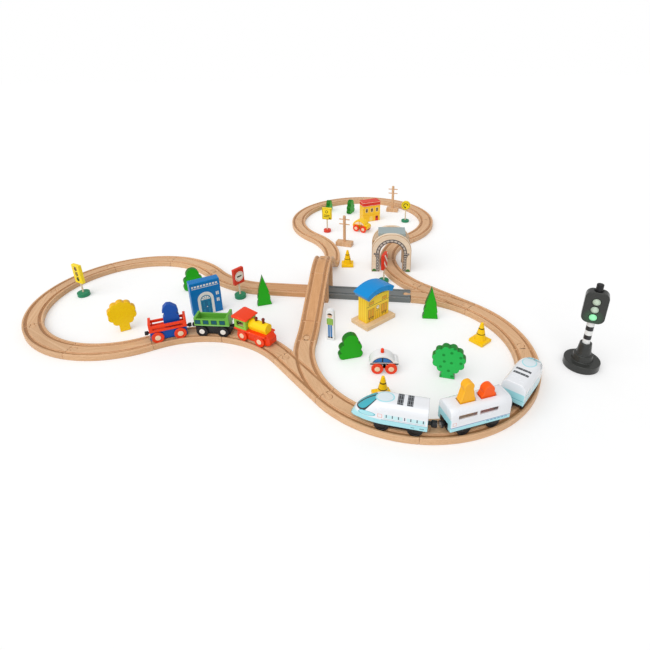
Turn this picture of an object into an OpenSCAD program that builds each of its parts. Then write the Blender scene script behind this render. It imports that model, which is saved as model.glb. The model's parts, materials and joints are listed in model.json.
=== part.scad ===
/* [Track] */
// Width of every track piece
track_w = 40; // [38:0.5:42]
// Height of every track piece
track_h = 12; // [11:0.5:14]
// Radius of the curves, at the middle of the track
loop_r = 200; // [195:1:210]
// Width of a wheel groove
groove_w = 6.4; // [6.2:0.1:6.8]
// Depth of a wheel groove
groove_d = 3; // [2.5:0.1:3.5]
// Distance between the two grooves, middle to middle
gauge = 26; // [25.6:0.1:26.4]
// Straight lead of a switch past the point where its arms part
arm_lead = 3.5; // [2:0.5:10]
// Play between a peg and its socket
peg_play = 0.4; // [0.3:0.05:0.6]

/* [Layout] */
// Where the lower switch leaves the right loop, degrees
low_switch = 225; // [222:0.5:228]
// Where the upper switch leaves the right loop, degrees
high_switch = 52; // [50:0.5:53]
// Direction from the lower bend to the left loop, degrees
left_dir = 128.5; // [126:0.5:131]
// Direction from the tunnel bend to the top loop, degrees
top_dir = 136.5; // [134:0.5:139]
// Length of the grey straight
grey_len = 216; // [200:1:230]

/* [Bridge] */
// Rise of the bridge deck above the ordinary track
rise = 67; // [64:1:70]
// Length of the near ramp
near_len = 222; // [214:1:228]
// Bend radius of the near ramp
near_bend = 140; // [120:5:160]
// Bend radius of the far ramp
far_bend = 70; // [60:5:80]
// Clear width of the pier
pier_clear = 54; // [50:1:58]
// Thickness of a pier leg
pier_leg = 12; // [10:1:16]

/* [Tunnel] */
// Width of a tunnel portal
portal_w = 96; // [90:1:104]
// Height of a tunnel portal
portal_h = 100; // [94:1:108]
// Thickness of a portal board
portal_t = 12; // [10:1:14]
// Width of the arched opening
arch_w = 56; // [54:1:62]
// Length of the tunnel
tunnel_len = 66; // [60:1:74]

/* [Steam train] */
// Wheel radius of the steam train
steam_wheel = 11.5; // [11:0.1:12]
// Distance between the axles
steam_base = 42; // [38:1:44]
// Width of the engine's footplate
steam_w = 33; // [31:0.5:36]
// Length of the footplate
engine_len = 74; // [70:1:76]
// Radius of the boiler
boiler_r = 10; // [9:0.5:11]
// Height of the cab
cab_h = 21; // [19:1:24]
// Length of a wagon
wagon_len = 72; // [68:1:74]
// Width of a wagon's body
wagon_w = 27; // [26:0.5:30]
// Height of the green wagon's walls
box_h = 15; // [13:1:18]
// Height of the red wagon's walls
tray_h = 14; // [12:1:16]
// Angle between two vehicles along the bend, degrees
steam_step = 25.6; // [25.4:0.1:26.4]

/* [Express train] */
// Wheel radius of the express train
express_wheel = 11.5; // [11:0.1:12]
// Distance between the axles
express_base = 48; // [46:1:50]
// Width of a body
express_w = 36; // [35.6:0.1:38]
// Height of the roof above the table
express_top = 62; // [60:1:64]
// Length of the middle car
car_len = 98; // [94:1:100]
// Rear end of the power cars, from the middle of the axles
power_back = 42; // [40:1:46]
// Length of the nose, from the middle of the axles
nose_len = 68; // [64:1:70]
// Angle between two vehicles along the loop, degrees
express_step = 32; // [31.8:0.1:33]

/* [Small cars] */
// Wheel radius of a small car
toy_wheel = 10.5; // [9.5:0.5:11]
// Distance between a small car's axles
toy_base = 24; // [23.5:0.5:28]
// Length of a small car
toy_len = 52; // [50:1:56]
// Width of a small car's body
toy_w = 22; // [20:1:24]

/* [Buildings] */
// Length of the station's base
station_len = 82; // [78:1:90]
// Depth of the station's base
station_dep = 48; // [44:1:54]
// Height of the station's walls
station_wall = 56; // [50:1:60]
// Radius of the station's curved roof
station_roof_r = 62; // [58:1:80]
// Length of the station's curved roof
station_roof_len = 72; // [66:1:78]
// Length of the blue block
block_len = 64; // [58:1:68]
// Height of the blue block
block_h = 80; // [76:1:86]
// Length of the market house
market_len = 58; // [54:1:64]
// Height of the market house
market_h = 65; // [60:1:72]

/* [Signal] */
// Radius of the signal's base
signal_base_r = 29; // [27:1:33]
// Height of the signal's post
signal_post = 95; // [90:1:100]
// Width of the signal's head
signal_head_w = 35; // [33:1:40]
// Height of the signal's head
signal_head_h = 58; // [56:1:64]
// Travel of the push button
button_travel = 3; // [2:0.5:4]

/* [Scenery] */
// Thickness of a slab tree
slab = 13; // [10:1:16]
// Height of a traffic cone
cone_h = 42; // [36:1:46]
// Side of a cone's base
cone_base = 30; // [28:1:34]
// Thickness of a sign post
post_d = 4; // [3:0.5:5]

/* [Hidden] */
$fn = 64;
R = loop_r;
W = track_w;
H = track_h;
e = 0.02;
// Distance past the tangent point where a switch's straight arm begins
fork = 14;
arm = sqrt(2 * R * W) + arm_lead;
gap = peg_play;
gapdeg = gap / R * 57.2958;
function dir(a) = [cos(a), sin(a)];
rc = [R, -R];
bc = rc + 2 * R * dir(low_switch) + arm * dir(low_switch - 90);
uc = rc + 2 * R * dir(high_switch) + arm * dir(high_switch + 90);
lc = bc + 2 * R * dir(left_dir);
tc = uc + 2 * R * dir(top_dir);
bendx = lc[0] + sqrt(4 * R * R - pow(R - lc[1], 2));
bendy = tc[1] - sqrt(4 * R * R - pow(R + tc[0], 2));
lv = [bendx, R];
tv = [-R, bendy];
left_a = 360 + atan2(lc[1] - R, lc[0] - bendx);
top_a = atan2(tc[1] - bendy, tc[0] + R);
far_len = bendy + R - near_len;
near_r = min(near_bend, 0.24 * (near_len * near_len + rise * rise) / rise);
far_r = min(far_bend, 0.24 * (far_len * far_len + rise * rise) / rise);
peak_y = near_len - R;
steam_r = R - steam_base * steam_base / 8 / R;
express_r = R - express_base * express_base / 8 / R;
engine_at = 67;
loco_at = 263.4;
run_play = 0.3;
steam_axle = H - groove_d + run_play + steam_wheel;
express_axle = H - groove_d + run_play + express_wheel;
deck = steam_axle + steam_wheel + 1;
wheel_t = 3.4;
axle_r = 1.5;
bore_r = axle_r + 0.08;
inner = gauge / 2 - wheel_t / 2 - 0.7;
well = gauge / 2 + wheel_t / 2 + 1.1;
express_low = 25;

// Track sections and joints
module section() {
    translate([-W / 2, 0])
        square([W, H]);
}
module grooves() {
    for (s = [-1, 1])
        translate([s * gauge / 2 - groove_w / 2, H - groove_d])
            square([groove_w, groove_d + 1]);
}
module track_section() {
    difference() {
        section();
        grooves();
    }
}
module peg(p, a, z = 0) {
    translate([p[0], p[1], z])
        rotate([0, 0, a]) {
            translate([-1.6, -3, 0])
                cube([9, 6, H - gap]);
            translate([10.5, 0, 0])
                cylinder(r = 6, h = H - gap);
        }
}
module socket(p, a, z = 0) {
    translate([p[0], p[1], z])
        rotate([0, 0, a]) {
            translate([-1, -3 - gap, -1])
                cube([8, 6 + 2 * gap, H + 2]);
            translate([10.5, 0, -1])
                cylinder(r = 6 + gap, h = H + 2);
        }
}
module arc_solid(c, a0, sweep) {
    translate([c[0], c[1], 0])
        rotate([0, 0, a0])
            rotate_extrude(angle = sweep, $fn = 180)
                translate([R, 0])
                    children();
}
module line_solid(p, a, len) {
    translate([p[0], p[1], 0])
        rotate([0, 0, a])
            rotate([90, 0, 90])
                linear_extrude(len)
                    children();
}
// One curve piece from a0 over sweep, with its peg at the far end and its socket at the near end
module curve(c, a0, sweep) {
    difference() {
        union() {
            arc_solid(c, a0 + gapdeg, sweep - gapdeg)
                track_section();
            peg(c + R * dir(a0 + sweep), a0 + sweep + 90);
        }
        socket(c + R * dir(a0), a0 + 90);
    }
}
// A run of equal curve pieces
module curves(c, a0, sweep, count) {
    for (i = [0 : count - 1])
        curve(c, a0 + i * sweep / count, sweep / count);
}
module straight(p, a, len) {
    difference() {
        union() {
            line_solid(p + gap * dir(a), a, len - gap)
                track_section();
            peg(p + len * dir(a), a);
        }
        socket(p, a);
    }
}
// Track nodes
module right_loop_curves() {
    color([0.84, 0.66, 0.51])
        curves(rc, low_switch, 360 + high_switch - low_switch, 4);
}
module left_loop_curves() {
    color([0.84, 0.66, 0.51]) {
        curves(lc, left_a - 180, left_dir + 180 - left_a + 180, 6);
        left_link();
        lower_bend();
    }
}
// The bend that brings the straight up to the left loop runs the other way, so its ends are turned round
module left_link() {
    difference() {
        union() {
            arc_solid(lv, left_a + gapdeg, 270 - left_a - 2 * gapdeg)
                track_section();
            peg(lv + R * dir(left_a), left_a - 90);
        }
        socket(lv + R * dir(270), 180);
    }
}
module lower_bend() {
    n = 2;
    a0 = low_switch - 180;
    s = (left_dir - a0) / n;
    for (i = [0 : n - 1])
        difference() {
            union() {
                arc_solid(bc, a0 + i * s + gapdeg, s - 2 * gapdeg)
                    track_section();
                peg(bc + R * dir(a0 + i * s + gapdeg), a0 + i * s - 90);
            }
            socket(bc + R * dir(a0 + (i + 1) * s), a0 + (i + 1) * s - 90);
        }
}
module top_loop_curves() {
    color([0.84, 0.66, 0.51]) {
        curves(tc, top_dir - 180, top_a + 360 - top_dir, 6);
        tunnel_bend();
        top_link();
    }
}
// The two pieces that carry the track through the tunnel to the top loop
module tunnel_bend() {
    n = 2;
    a1 = high_switch + 180;
    s = (a1 - top_dir) / n;
    for (i = [0 : n - 1])
        difference() {
            union() {
                arc_solid(uc, a1 - (i + 1) * s + gapdeg, s - 2 * gapdeg)
                    track_section();
                peg(uc + R * dir(a1 - (i + 1) * s + gapdeg), a1 - (i + 1) * s - 90);
            }
            socket(uc + R * dir(a1 - i * s), a1 - i * s - 90);
        }
}
// The bend behind the bridge
module top_link() {
    difference() {
        union() {
            arc_solid(tv, gapdeg, top_a - 2 * gapdeg)
                track_section();
            peg(tv + R * dir(gapdeg), -90);
        }
        socket(tv + R * dir(top_a), top_a - 90);
    }
}
// A switch leaves the loop at angle a: the bend goes on by sweep, the straight arm goes off at a tangent
module switch_plan(a, sweep, tangent, off, wide, ends) {
    translate(rc)
        intersection() {
            difference() {
                circle(r = R + off + wide / 2, $fn = 180);
                circle(r = R + off - wide / 2, $fn = 180);
            }
            wedge(min(a, a + sweep) - ends, max(a, a + sweep) + ends, 2 * R);
        }
    translate(rc + R * dir(a) + fork * dir(tangent))
        rotate(tangent)
            translate([0, (sweep > 0 ? -off : off) - wide / 2])
                square([arm - fork + ends * 4, wide]);
}
module switch_body(a, sweep, tangent) {
    difference() {
        linear_extrude(H)
            switch_plan(a, sweep, tangent, 0, W, -gapdeg);
        for (s = [-1, 1])
            translate([0, 0, H - groove_d])
                linear_extrude(groove_d + 1)
                    switch_plan(a, sweep, tangent, s * gauge / 2, groove_w, 2);
    }
}
module lower_switch() {
    color([0.84, 0.66, 0.51])
        difference() {
            union() {
                switch_body(low_switch, 180 - low_switch, low_switch - 90);
                peg(rc + R * dir(low_switch - gapdeg), low_switch + 90);
                peg([0, -R - gap], 90);
            }
            socket(rc + R * dir(low_switch) + arm * dir(low_switch - 90), low_switch + 90);
        }
}
module right_switch() {
    color([0.84, 0.66, 0.51])
        difference() {
            union() {
                switch_body(high_switch, 90 - high_switch, high_switch + 90);
                peg(rc + R * dir(high_switch) + (arm - gap) * dir(high_switch + 90), high_switch + 90);
                peg([R + gap, 0], 180);
            }
            socket(rc + R * dir(high_switch), high_switch + 90);
        }
}
module grey_straight() {
    color([0.47, 0.49, 0.49])
        straight([R, 0], 180, grey_len);
}
module wood_straight() {
    color([0.84, 0.66, 0.51])
        straight([R - grey_len, 0], 180, R - grey_len - bendx);
}
// A ramp's side view lies between two depths t0 and t1 under its running face
function ramp_slope(len, r) = asin(2 * r / sqrt(len * len + pow(2 * r - rise, 2))) - atan2(2 * r - rise, len);
module wedge(a0, a1, size) {
    polygon([[0, 0], size * dir(a0), size * 1.2 * dir((a0 + a1) / 2), size * dir(a1)]);
}
module ramp_band(len, r, t0, t1) {
    th = ramp_slope(len, r);
    run = (rise - 2 * r * (1 - cos(th))) / sin(th);
    translate([0, H + r])
        intersection() {
            difference() {
                circle(r = r + t1, $fn = 180);
                circle(r = r + t0, $fn = 180);
            }
            wedge(270, 270 + th, r + t1 + 20);
        }
    translate([r * sin(th), H + r * (1 - cos(th))])
        rotate(th)
            translate([-1, e - t1])
                square([run + 2, t1 - t0 - 2 * e]);
    translate([len, H + rise - r])
        intersection() {
            difference() {
                circle(r = r - t0, $fn = 180);
                circle(r = r - t1, $fn = 180);
            }
            wedge(90, 90 + th, r - t0 + 20);
        }
}
module ramp_cut(len, r, t0, t1, x0, wide) {
    translate([x0, 0, 0])
        rotate([90, 0, 90])
            linear_extrude(wide)
                ramp_band(len, r, t0, t1);
}
module ramp(len, r) {
    difference() {
        ramp_cut(len, r, 0, H, -W / 2, W);
        for (s = [-1, 1])
            ramp_cut(len, r, -1, groove_d, s * gauge / 2 - groove_w / 2, groove_w);
        translate([-W, -1, -1])
            cube([2 * W, 1 + gap / 2, H + 2]);
        translate([-W, len - gap / 2, rise - H])
            cube([2 * W, 2, 3 * H]);
    }
}
module near_ramp() {
    color([0.84, 0.66, 0.51])
        difference() {
            union() {
                translate([0, -R, 0])
                    ramp(near_len, near_r);
                peg([0, peak_y - gap / 2], 90, rise);
            }
            socket([0, -R], 90);
        }
}
module far_ramp() {
    color([0.84, 0.66, 0.51])
        difference() {
            translate([0, bendy, 0])
                mirror([0, 1, 0])
                    ramp(far_len, far_r);
            socket([0, peak_y], 90, rise);
            socket([0, bendy], -90);
        }
}
module bridge_piers() {
    span = pier_clear + 2 * pier_leg;
    color([0.84, 0.66, 0.51])
        difference() {
            translate([-W / 2, -span / 2, 0])
                cube([W, span, rise + H]);
            translate([-W, -pier_clear / 2, -1])
                cube([2 * W, pier_clear, rise + 3 * H]);
            translate([0, -R, 0])
                ramp_cut(near_len, near_r, -3 * H, H + 0.2, -W, 2 * W);
            translate([0, bendy, 0])
                mirror([0, 1, 0])
                    ramp_cut(far_len, far_r, -3 * H, H + 0.2, -W, 2 * W);
            translate([-W, peak_y - 1, rise - 0.2])
                cube([2 * W, 2, 3 * H]);
        }
}

// Tunnel
tunnel_a = 183;
tunnel_p = uc + R * dir(190) + [5, 0];
module at_tunnel() {
    translate([tunnel_p[0], tunnel_p[1], 0])
        rotate([0, 0, tunnel_a])
            children();
}
module portal_face() {
    c = 0.46 * portal_w;
    translate([-portal_w / 2, 0])
        square([portal_w, portal_h - c]);
    translate([-portal_w / 2 + c, 0])
        square([portal_w - 2 * c, portal_h]);
    for (s = [-1, 1])
        translate([s * (portal_w / 2 - c), portal_h - c])
            circle(r = c);
}
module portal() {
    rotate([90, 0, 0])
        translate([0, 0, -portal_t / 2])
            linear_extrude(portal_t)
                difference() {
                    portal_face();
                    translate([-arch_w / 2, -1])
                        square([arch_w, portal_h - 22 - arch_w / 2 + 1]);
                    translate([0, portal_h - 22 - arch_w / 2])
                        circle(r = arch_w / 2);
                }
}
module tunnel_portals() {
    color([0.9, 0.8, 0.68])
        at_tunnel()
            for (s = [-1, 1])
                translate([0, s * (tunnel_len - portal_t) / 2, 0])
                    portal();
}
module tunnel_roof() {
    len = tunnel_len - 2 * portal_t - 0.2;
    color([0.6, 0.68, 0.68])
        at_tunnel() {
            translate([-33, -len / 2, portal_h - 9])
                cube([66, len, 8]);
            for (s = [-1, 1])
                translate([s * (portal_w / 2 - 6) - 5, -len / 2, 0])
                    cube([10, len, 62]);
        }
}

// Rolling stock
module vehicle(c, r, a) {
    translate([c[0] + r * cos(a), c[1] + r * sin(a), 0])
        rotate([0, 0, a - 90])
            children();
}
module wheel_pair(x, z, wr, half, t) {
    translate([x, 0, z])
        rotate([-90, 0, 0]) {
            translate([0, 0, -half - t / 2 - 0.6])
                cylinder(r = axle_r, h = 2 * half + t + 1.2);
            for (s = [-1, 1])
                translate([0, 0, s * half - t / 2])
                    difference() {
                        union() {
                            cylinder(r = wr, h = t);
                            translate([0, 0, s > 0 ? t - e : -0.5])
                                cylinder(r = wr * 0.45, h = 0.5 + e);
                        }
                        translate([0, 0, -2])
                            cylinder(r = axle_r + 0.02, h = t + 4);
                    }
        }
}
module axle_bores(base, z, half) {
    for (s = [-1, 1])
        translate([s * base / 2, 0, z])
            rotate([90, 0, 0])
                cylinder(r = bore_r, h = 2 * half, center = true);
}
// A coupler: a shank in the body's end and a round magnet cap
module coupler(x, s, z, cr, len) {
    translate([x, 0, z])
        rotate([0, s * 90, 0]) {
            translate([0, 0, -6])
                cylinder(r = 2, h = 6.2);
            translate([0, 0, 0.1])
                cylinder(r = cr, h = len - 0.1);
        }
}
module coupler_bore(x, s, z) {
    translate([x, 0, z])
        rotate([0, s * 90, 0])
            translate([0, 0, -7])
                cylinder(r = 2.06, h = 9);
}
module steam_wheels(i, s) {
    vehicle(bc, steam_r, engine_at + i * steam_step)
        wheel_pair(s * steam_base / 2, steam_axle, steam_wheel, gauge / 2, wheel_t);
}
module express_wheels(i, s) {
    vehicle(rc, express_r, loco_at + i * express_step)
        wheel_pair(s * express_base / 2, express_axle, express_wheel, gauge / 2, wheel_t);
}
module spine(len) {
    difference() {
        translate([-len / 2 + 2, -inner, H + 2.5])
            cube([len - 4, 2 * inner, deck - H - 2.5]);
        axle_bores(steam_base, steam_axle, inner + 1);
    }
}
steam_cap = 4;
steam_tip = (steam_r - steam_cap) * tan(steam_step / 2) - 0.3;
steam_couple = deck - 5.5;
module engine_chassis() {
    color([0.89, 0.23, 0.08])
        vehicle(bc, steam_r, engine_at) {
            difference() {
                union() {
                    spine(engine_len);
                    translate([-engine_len / 2, -steam_w / 2, deck - e])
                        cube([engine_len, steam_w, 4 + e]);
                    translate([engine_len / 2 - 3, inner, 0])
                        rotate([90, 0, 0])
                            linear_extrude(2 * inner)
                                polygon([[0, H + 2.5], [4, H + 2.5], [10, H + 6], [10, deck - 4], [3, deck + 4], [0, deck + 4]]);
                }
                coupler_bore(-engine_len / 2 + 2, -1, steam_couple);
            }
            coupler(-engine_len / 2 + 2, -1, steam_couple, steam_cap, steam_tip - engine_len / 2 + 2);
        }
}
boiler_z = deck + 4 + boiler_r - 1;
module engine_boiler() {
    color([0.96, 0.78, 0.08])
        vehicle(bc, steam_r, engine_at) {
            difference() {
                union() {
                    translate([-7, 0, boiler_z])
                        rotate([0, 90, 0])
                            cylinder(r = boiler_r, h = 42);
                    translate([-7, -boiler_r + 2, deck + 4.05])
                        cube([42, 2 * boiler_r - 4, boiler_r - 1]);
                }
                translate([-8, -20, deck - 6])
                    cube([50, 40, 10.05]);
                for (x = [7, 24])
                    translate([x, 0, boiler_z + boiler_r - 6])
                        cylinder(r = 2.06, h = 10);
            }
            knob(7, 8);
            knob(24, 10.5);
        }
}
// A knob on the boiler, standing up by tall, with a shank in the bore
module knob(x, tall) {
    translate([x, 0, boiler_z + boiler_r]) {
        translate([0, 0, -5.6])
            cylinder(r = 2, h = 6.2);
        translate([0, 0, 0.4])
            cylinder(r = 2.5, h = tall - 3);
        translate([0, 0, tall - 3.2])
            sphere(r = 3.2);
    }
}
module engine_cab() {
    color([0.55, 0.76, 0.27])
        vehicle(bc, steam_r, engine_at)
            difference() {
                translate([-engine_len / 2 + 1, -steam_w / 2 + 1, deck + 4.05])
                    cube([engine_len / 2 - 8.2, steam_w - 2, cab_h]);
                translate([-engine_len / 2 + 7, -steam_w, deck + 4 + cab_h - 16])
                    cube([engine_len / 2 - 20, 2 * steam_w, 11]);
                translate([-engine_len / 2 + 5, -steam_w / 2 + 4, deck + 9])
                    cube([engine_len / 2 - 16, steam_w - 8, cab_h - 9]);
            }
}
module engine_roof() {
    color([0.89, 0.23, 0.08])
        vehicle(bc, steam_r, engine_at)
            translate([0, steam_w / 2 + 2, deck + 4.1 + cab_h])
                rotate([90, 0, 0])
                    linear_extrude(steam_w + 4)
                        polygon([[-engine_len / 2 - 2, 0], [-3.5, 0], [-3.5, 3], [-engine_len / 2 + 4, 7], [-engine_len / 2 - 2, 5]]);
}
module engine_front_wheels() {
    color([0.85, 0.2, 0.1])
        steam_wheels(0, 1);
}
module engine_rear_wheels() {
    color([0.85, 0.2, 0.1])
        steam_wheels(0, -1);
}
module wagon_chassis(i) {
    vehicle(bc, steam_r, engine_at + i * steam_step) {
        difference() {
            spine(wagon_len);
            for (s = [-1, 1])
                coupler_bore(s * (wagon_len / 2 - 2), s, steam_couple);
        }
        for (s = [-1, 1])
            coupler(s * (wagon_len / 2 - 2), s, steam_couple, steam_cap, steam_tip - wagon_len / 2 + 2);
    }
}
module green_wagon_chassis() {
    color([0.1, 0.1, 0.1])
        wagon_chassis(1);
}
module wagon_side(end, rear) {
    x = wagon_len / 2 - 1;
    translate([-x, 0])
        square([2 * x, box_h]);
    translate([-x, 0])
        square([5, box_h + rear]);
    difference() {
        translate([x - 14, 0])
            square([14, box_h + end]);
        translate([x - 14, box_h + end])
            circle(r = end);
    }
}
module green_wagon_box() {
    color([0.43, 0.71, 0.27])
        vehicle(bc, steam_r, engine_at + steam_step)
            translate([0, 0, deck + 0.05])
                difference() {
                    translate([0, wagon_w / 2, 0])
                        rotate([90, 0, 0])
                            linear_extrude(wagon_w)
                                wagon_side(9, 3);
                    translate([-wagon_len / 2 + 6, -wagon_w / 2 + 3.5, 4])
                        cube([wagon_len - 12, wagon_w - 7, box_h + 20]);
                }
}
module green_front_wheels() {
    color([0.08, 0.08, 0.08])
        steam_wheels(1, 1);
}
module green_rear_wheels() {
    color([0.08, 0.08, 0.08])
        steam_wheels(1, -1);
}
module red_wagon_chassis() {
    color([0, 0.28, 0.6])
        wagon_chassis(2);
}
cargo_slab = 12;
module red_wagon_tray() {
    color([0.89, 0.23, 0.08])
        vehicle(bc, steam_r, engine_at + 2 * steam_step)
            translate([0, 0, deck + 0.05])
                difference() {
                    union() {
                        translate([-wagon_len / 2 + 1, -wagon_w / 2, 0])
                            cube([wagon_len - 2, wagon_w, tray_h]);
                        for (s = [-1, 1])
                            translate([s * (wagon_len / 2 - 3.5) - 2.5, -wagon_w / 2, 0])
                                cube([5, wagon_w, tray_h + 6]);
                    }
                    translate([-wagon_len / 2 + 6, -wagon_w / 2 + 3.5, 3])
                        cube([wagon_len - 12, wagon_w - 7, tray_h + 20]);
                    translate([-wagon_len / 2 + 8, -wagon_w, 4.5])
                        cube([wagon_len - 16, 2 * wagon_w, 4]);
                }
}
module red_front_wheels() {
    color([0.85, 0.2, 0.1])
        steam_wheels(2, 1);
}
module red_rear_wheels() {
    color([0.85, 0.2, 0.1])
        steam_wheels(2, -1);
}
module blue_cargo() {
    color([0, 0.28, 0.6])
        vehicle(bc, steam_r, engine_at + 2 * steam_step)
            translate([9, cargo_slab / 2, deck + 3.25])
                rotate([90, 0, 0])
                    linear_extrude(cargo_slab) {
                        translate([-15, 0])
                            square([30, 18]);
                        translate([-12, 18 - e])
                            square([24, 14]);
                        for (x = [-8, 8])
                            translate([x, 18])
                                circle(r = 7);
                        polygon([[-15, 31], [15, 28], [13, 39], [3, 47], [-5, 48], [-12, 42]]);
                    }
}

// Express train: side, plan and end views of a power car cut each other
nose_flat = 18;
module power_side() {
    h = express_top - express_low;
    n = nose_len - nose_flat;
    drop = h - 7;
    r = (n * n + drop * drop) / 2 / drop;
    translate([-power_back, express_low])
        square([power_back + nose_flat, h]);
    intersection() {
        translate([nose_flat, express_top - r])
            circle(r = r, $fn = 180);
        translate([nose_flat, express_low])
            square([n + 20, h]);
    }
}
module power_plan() {
    n = nose_len - nose_flat + 4;
    drop = express_w / 2 - 6;
    r = (n * n + drop * drop) / 2 / drop;
    translate([-power_back, -express_w / 2])
        square([power_back + nose_flat, express_w]);
    intersection() {
        translate([nose_flat, express_w / 2 - r])
            circle(r = r, $fn = 180);
        translate([nose_flat, r - express_w / 2])
            circle(r = r, $fn = 180);
        translate([nose_flat, -express_w])
            square([n + 10, 2 * express_w]);
    }
}
module end_view() {
    c = 10;
    translate([-express_w / 2, 0])
        square([express_w, express_top - c]);
    translate([-express_w / 2 + c, 0])
        square([express_w - 2 * c, express_top]);
    for (s = [-1, 1])
        translate([s * (express_w / 2 - c), express_top - c])
            circle(r = c);
}
// The frame under a body carries the axles and runs out to the couplers between x0 and x1
module bogie_block(x0, x1) {
    top = express_axle + express_wheel + 2.5;
    difference() {
        union() {
            translate([-express_base / 2 - 10, -inner, H + 2.5])
                cube([express_base + 20, 2 * inner, top - H - 2.5]);
            translate([x0, -inner, couple_z - express_cap])
                cube([x1 - x0, 2 * inner, top - couple_z + express_cap]);
        }
        axle_bores(express_base, express_axle, inner + 1);
    }
}
module wheel_well(len) {
    translate([-len / 2, -well, -1])
        cube([len, 2 * well, express_axle + express_wheel + 2.5]);
}
express_cap = 5.5;
express_tip = (express_r - express_cap) * tan(express_step / 2) - 0.3;
couple_z = express_low + 1;
module power_car() {
    difference() {
        union() {
            difference() {
                intersection() {
                    translate([0, express_w, 0])
                        rotate([90, 0, 0])
                            linear_extrude(2 * express_w)
                                power_side();
                    linear_extrude(express_top + 10)
                        power_plan();
                    translate([-power_back - 10, 0, 0])
                        rotate([90, 0, 90])
                            linear_extrude(power_back + nose_len + 30)
                                end_view();
                }
                wheel_well(express_base + 2 * express_wheel + 4);
            }
            bogie_block(-power_back, express_base / 2 + 10);
        }
        coupler_bore(-power_back, -1, couple_z);
    }
    coupler(-power_back, -1, couple_z, express_cap, express_tip - power_back);
}
module express_loco() {
    color([0.94, 0.94, 0.96])
        vehicle(rc, express_r, loco_at)
            power_car();
}
module express_tail() {
    color([0.94, 0.94, 0.96])
        vehicle(rc, express_r, loco_at + 2 * express_step)
            rotate([0, 0, 180])
                power_car();
}
cargo_x = 17;
cargo_w = 24;
cargo_floor = express_axle + express_wheel + 4.5;
cargo_up = express_top - cargo_floor;
window_w = 30;
window_x = 5;
module express_car() {
    color([0.94, 0.94, 0.96])
        vehicle(rc, express_r, loco_at + express_step) {
            difference() {
                union() {
                    difference() {
                        translate([-car_len / 2, 0, 0])
                            rotate([90, 0, 90])
                                linear_extrude(car_len)
                                    end_view();
                        translate([-car_len, -express_w, -5])
                            cube([2 * car_len, 2 * express_w, express_low + 5]);
                        wheel_well(express_base + 2 * express_wheel + 4);
                        translate([-2 * cargo_x - window_x, -express_w / 2 + 2.5, cargo_floor])
                            cube([4 * cargo_x + 2 * window_x, express_w - 5, express_top - 8 - cargo_floor]);
                        for (s = [-1, 1]) {
                            translate([s * cargo_x - cargo_w / 2 - 1, -cargo_slab / 2 - 1, cargo_floor])
                                cube([cargo_w + 2, cargo_slab + 2, 40]);
                            translate([s * cargo_x + window_x - window_w / 2, -express_w, cargo_floor + 8])
                                cube([window_w, 2 * express_w, 8]);
                        }
                    }
                    bogie_block(-car_len / 2, car_len / 2);
                }
                for (s = [-1, 1])
                    coupler_bore(s * car_len / 2, s, couple_z);
            }
            for (s = [-1, 1])
                coupler(s * car_len / 2, s, couple_z, express_cap, express_tip - car_len / 2);
        }
}
module loco_front_wheels() {
    color([0.08, 0.08, 0.08])
        express_wheels(0, 1);
}
module loco_rear_wheels() {
    color([0.08, 0.08, 0.08])
        express_wheels(0, -1);
}
module car_front_wheels() {
    color([0.08, 0.08, 0.08])
        express_wheels(1, 1);
}
module car_rear_wheels() {
    color([0.08, 0.08, 0.08])
        express_wheels(1, -1);
}
module tail_front_wheels() {
    color([0.08, 0.08, 0.08])
        express_wheels(2, 1);
}
module tail_rear_wheels() {
    color([0.08, 0.08, 0.08])
        express_wheels(2, -1);
}
// A cargo slab stands in the slot of the roof: its foot is square, its head is one circle on a tapering neck
module cargo_slab_face(neck, head, rise_to) {
    translate([-cargo_w / 2, 0])
        square([cargo_w, cargo_up + 2]);
    polygon([[-cargo_w / 2, cargo_up + 1], [cargo_w / 2, cargo_up + 1], [neck, cargo_up + rise_to - head],
        [-neck, cargo_up + rise_to - head]]);
    translate([0, cargo_up + rise_to - head])
        circle(r = head);
}
module cargo_piece(x) {
    vehicle(rc, express_r, loco_at + express_step)
        translate([x, cargo_slab / 2, cargo_floor + 0.2])
            rotate([90, 0, 0])
                linear_extrude(cargo_slab)
                    children();
}
module yellow_cargo() {
    color([0.98, 0.69, 0.12])
        cargo_piece(cargo_x)
            cargo_slab_face(6.5, 8, 33);
}
module orange_cargo() {
    color([1, 0.37, 0.04])
        cargo_piece(-cargo_x)
            cargo_slab_face(8, 9, 19);
}

// Small cars
white_at = rc + [-50, -54];
yellow_at = tc + [6, -74];
module at_car(p, a) {
    translate([p[0], p[1], 0])
        rotate([0, 0, a])
            children();
}
toy_cab_z = 12;
toy_cab_r = 24;
beacon_z = toy_cab_z + toy_cab_r;
module toy_side() {
    translate([-toy_len / 2 + 8, 9])
        square([toy_len - 16, 13]);
    for (s = [-1, 1])
        translate([s * (toy_len / 2 - 8), 17])
            circle(r = 8);
    intersection() {
        translate([-3, toy_cab_z])
            circle(r = toy_cab_r);
        translate([-toy_len / 2 + 2, 14])
            square([toy_len - 10, 40]);
    }
}
module toy_body() {
    difference() {
        translate([0, toy_w / 2, 0])
            rotate([90, 0, 0])
                linear_extrude(toy_w)
                    toy_side();
        axle_bores(toy_base, toy_wheel + 0.1, toy_w);
    }
}
toy_half = toy_w / 2 + 2.4;
module white_car() {
    color([0.95, 0.95, 0.95])
        at_car(white_at, 6) {
            difference() {
                toy_body();
                translate([-3, 0, beacon_z - 6])
                    cylinder(r = 2.06, h = 10);
            }
            translate([-3, 0, beacon_z]) {
                translate([0, 0, -5.6])
                    cylinder(r = 2, h = 6.4);
                translate([0, 0, 0.3])
                    cylinder(r = 3, h = 5);
                translate([0, 0, 5.3])
                    sphere(r = 3);
            }
        }
}
module yellow_car() {
    color([0.98, 0.75, 0.15])
        at_car(yellow_at, -25)
            toy_body();
}
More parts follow.
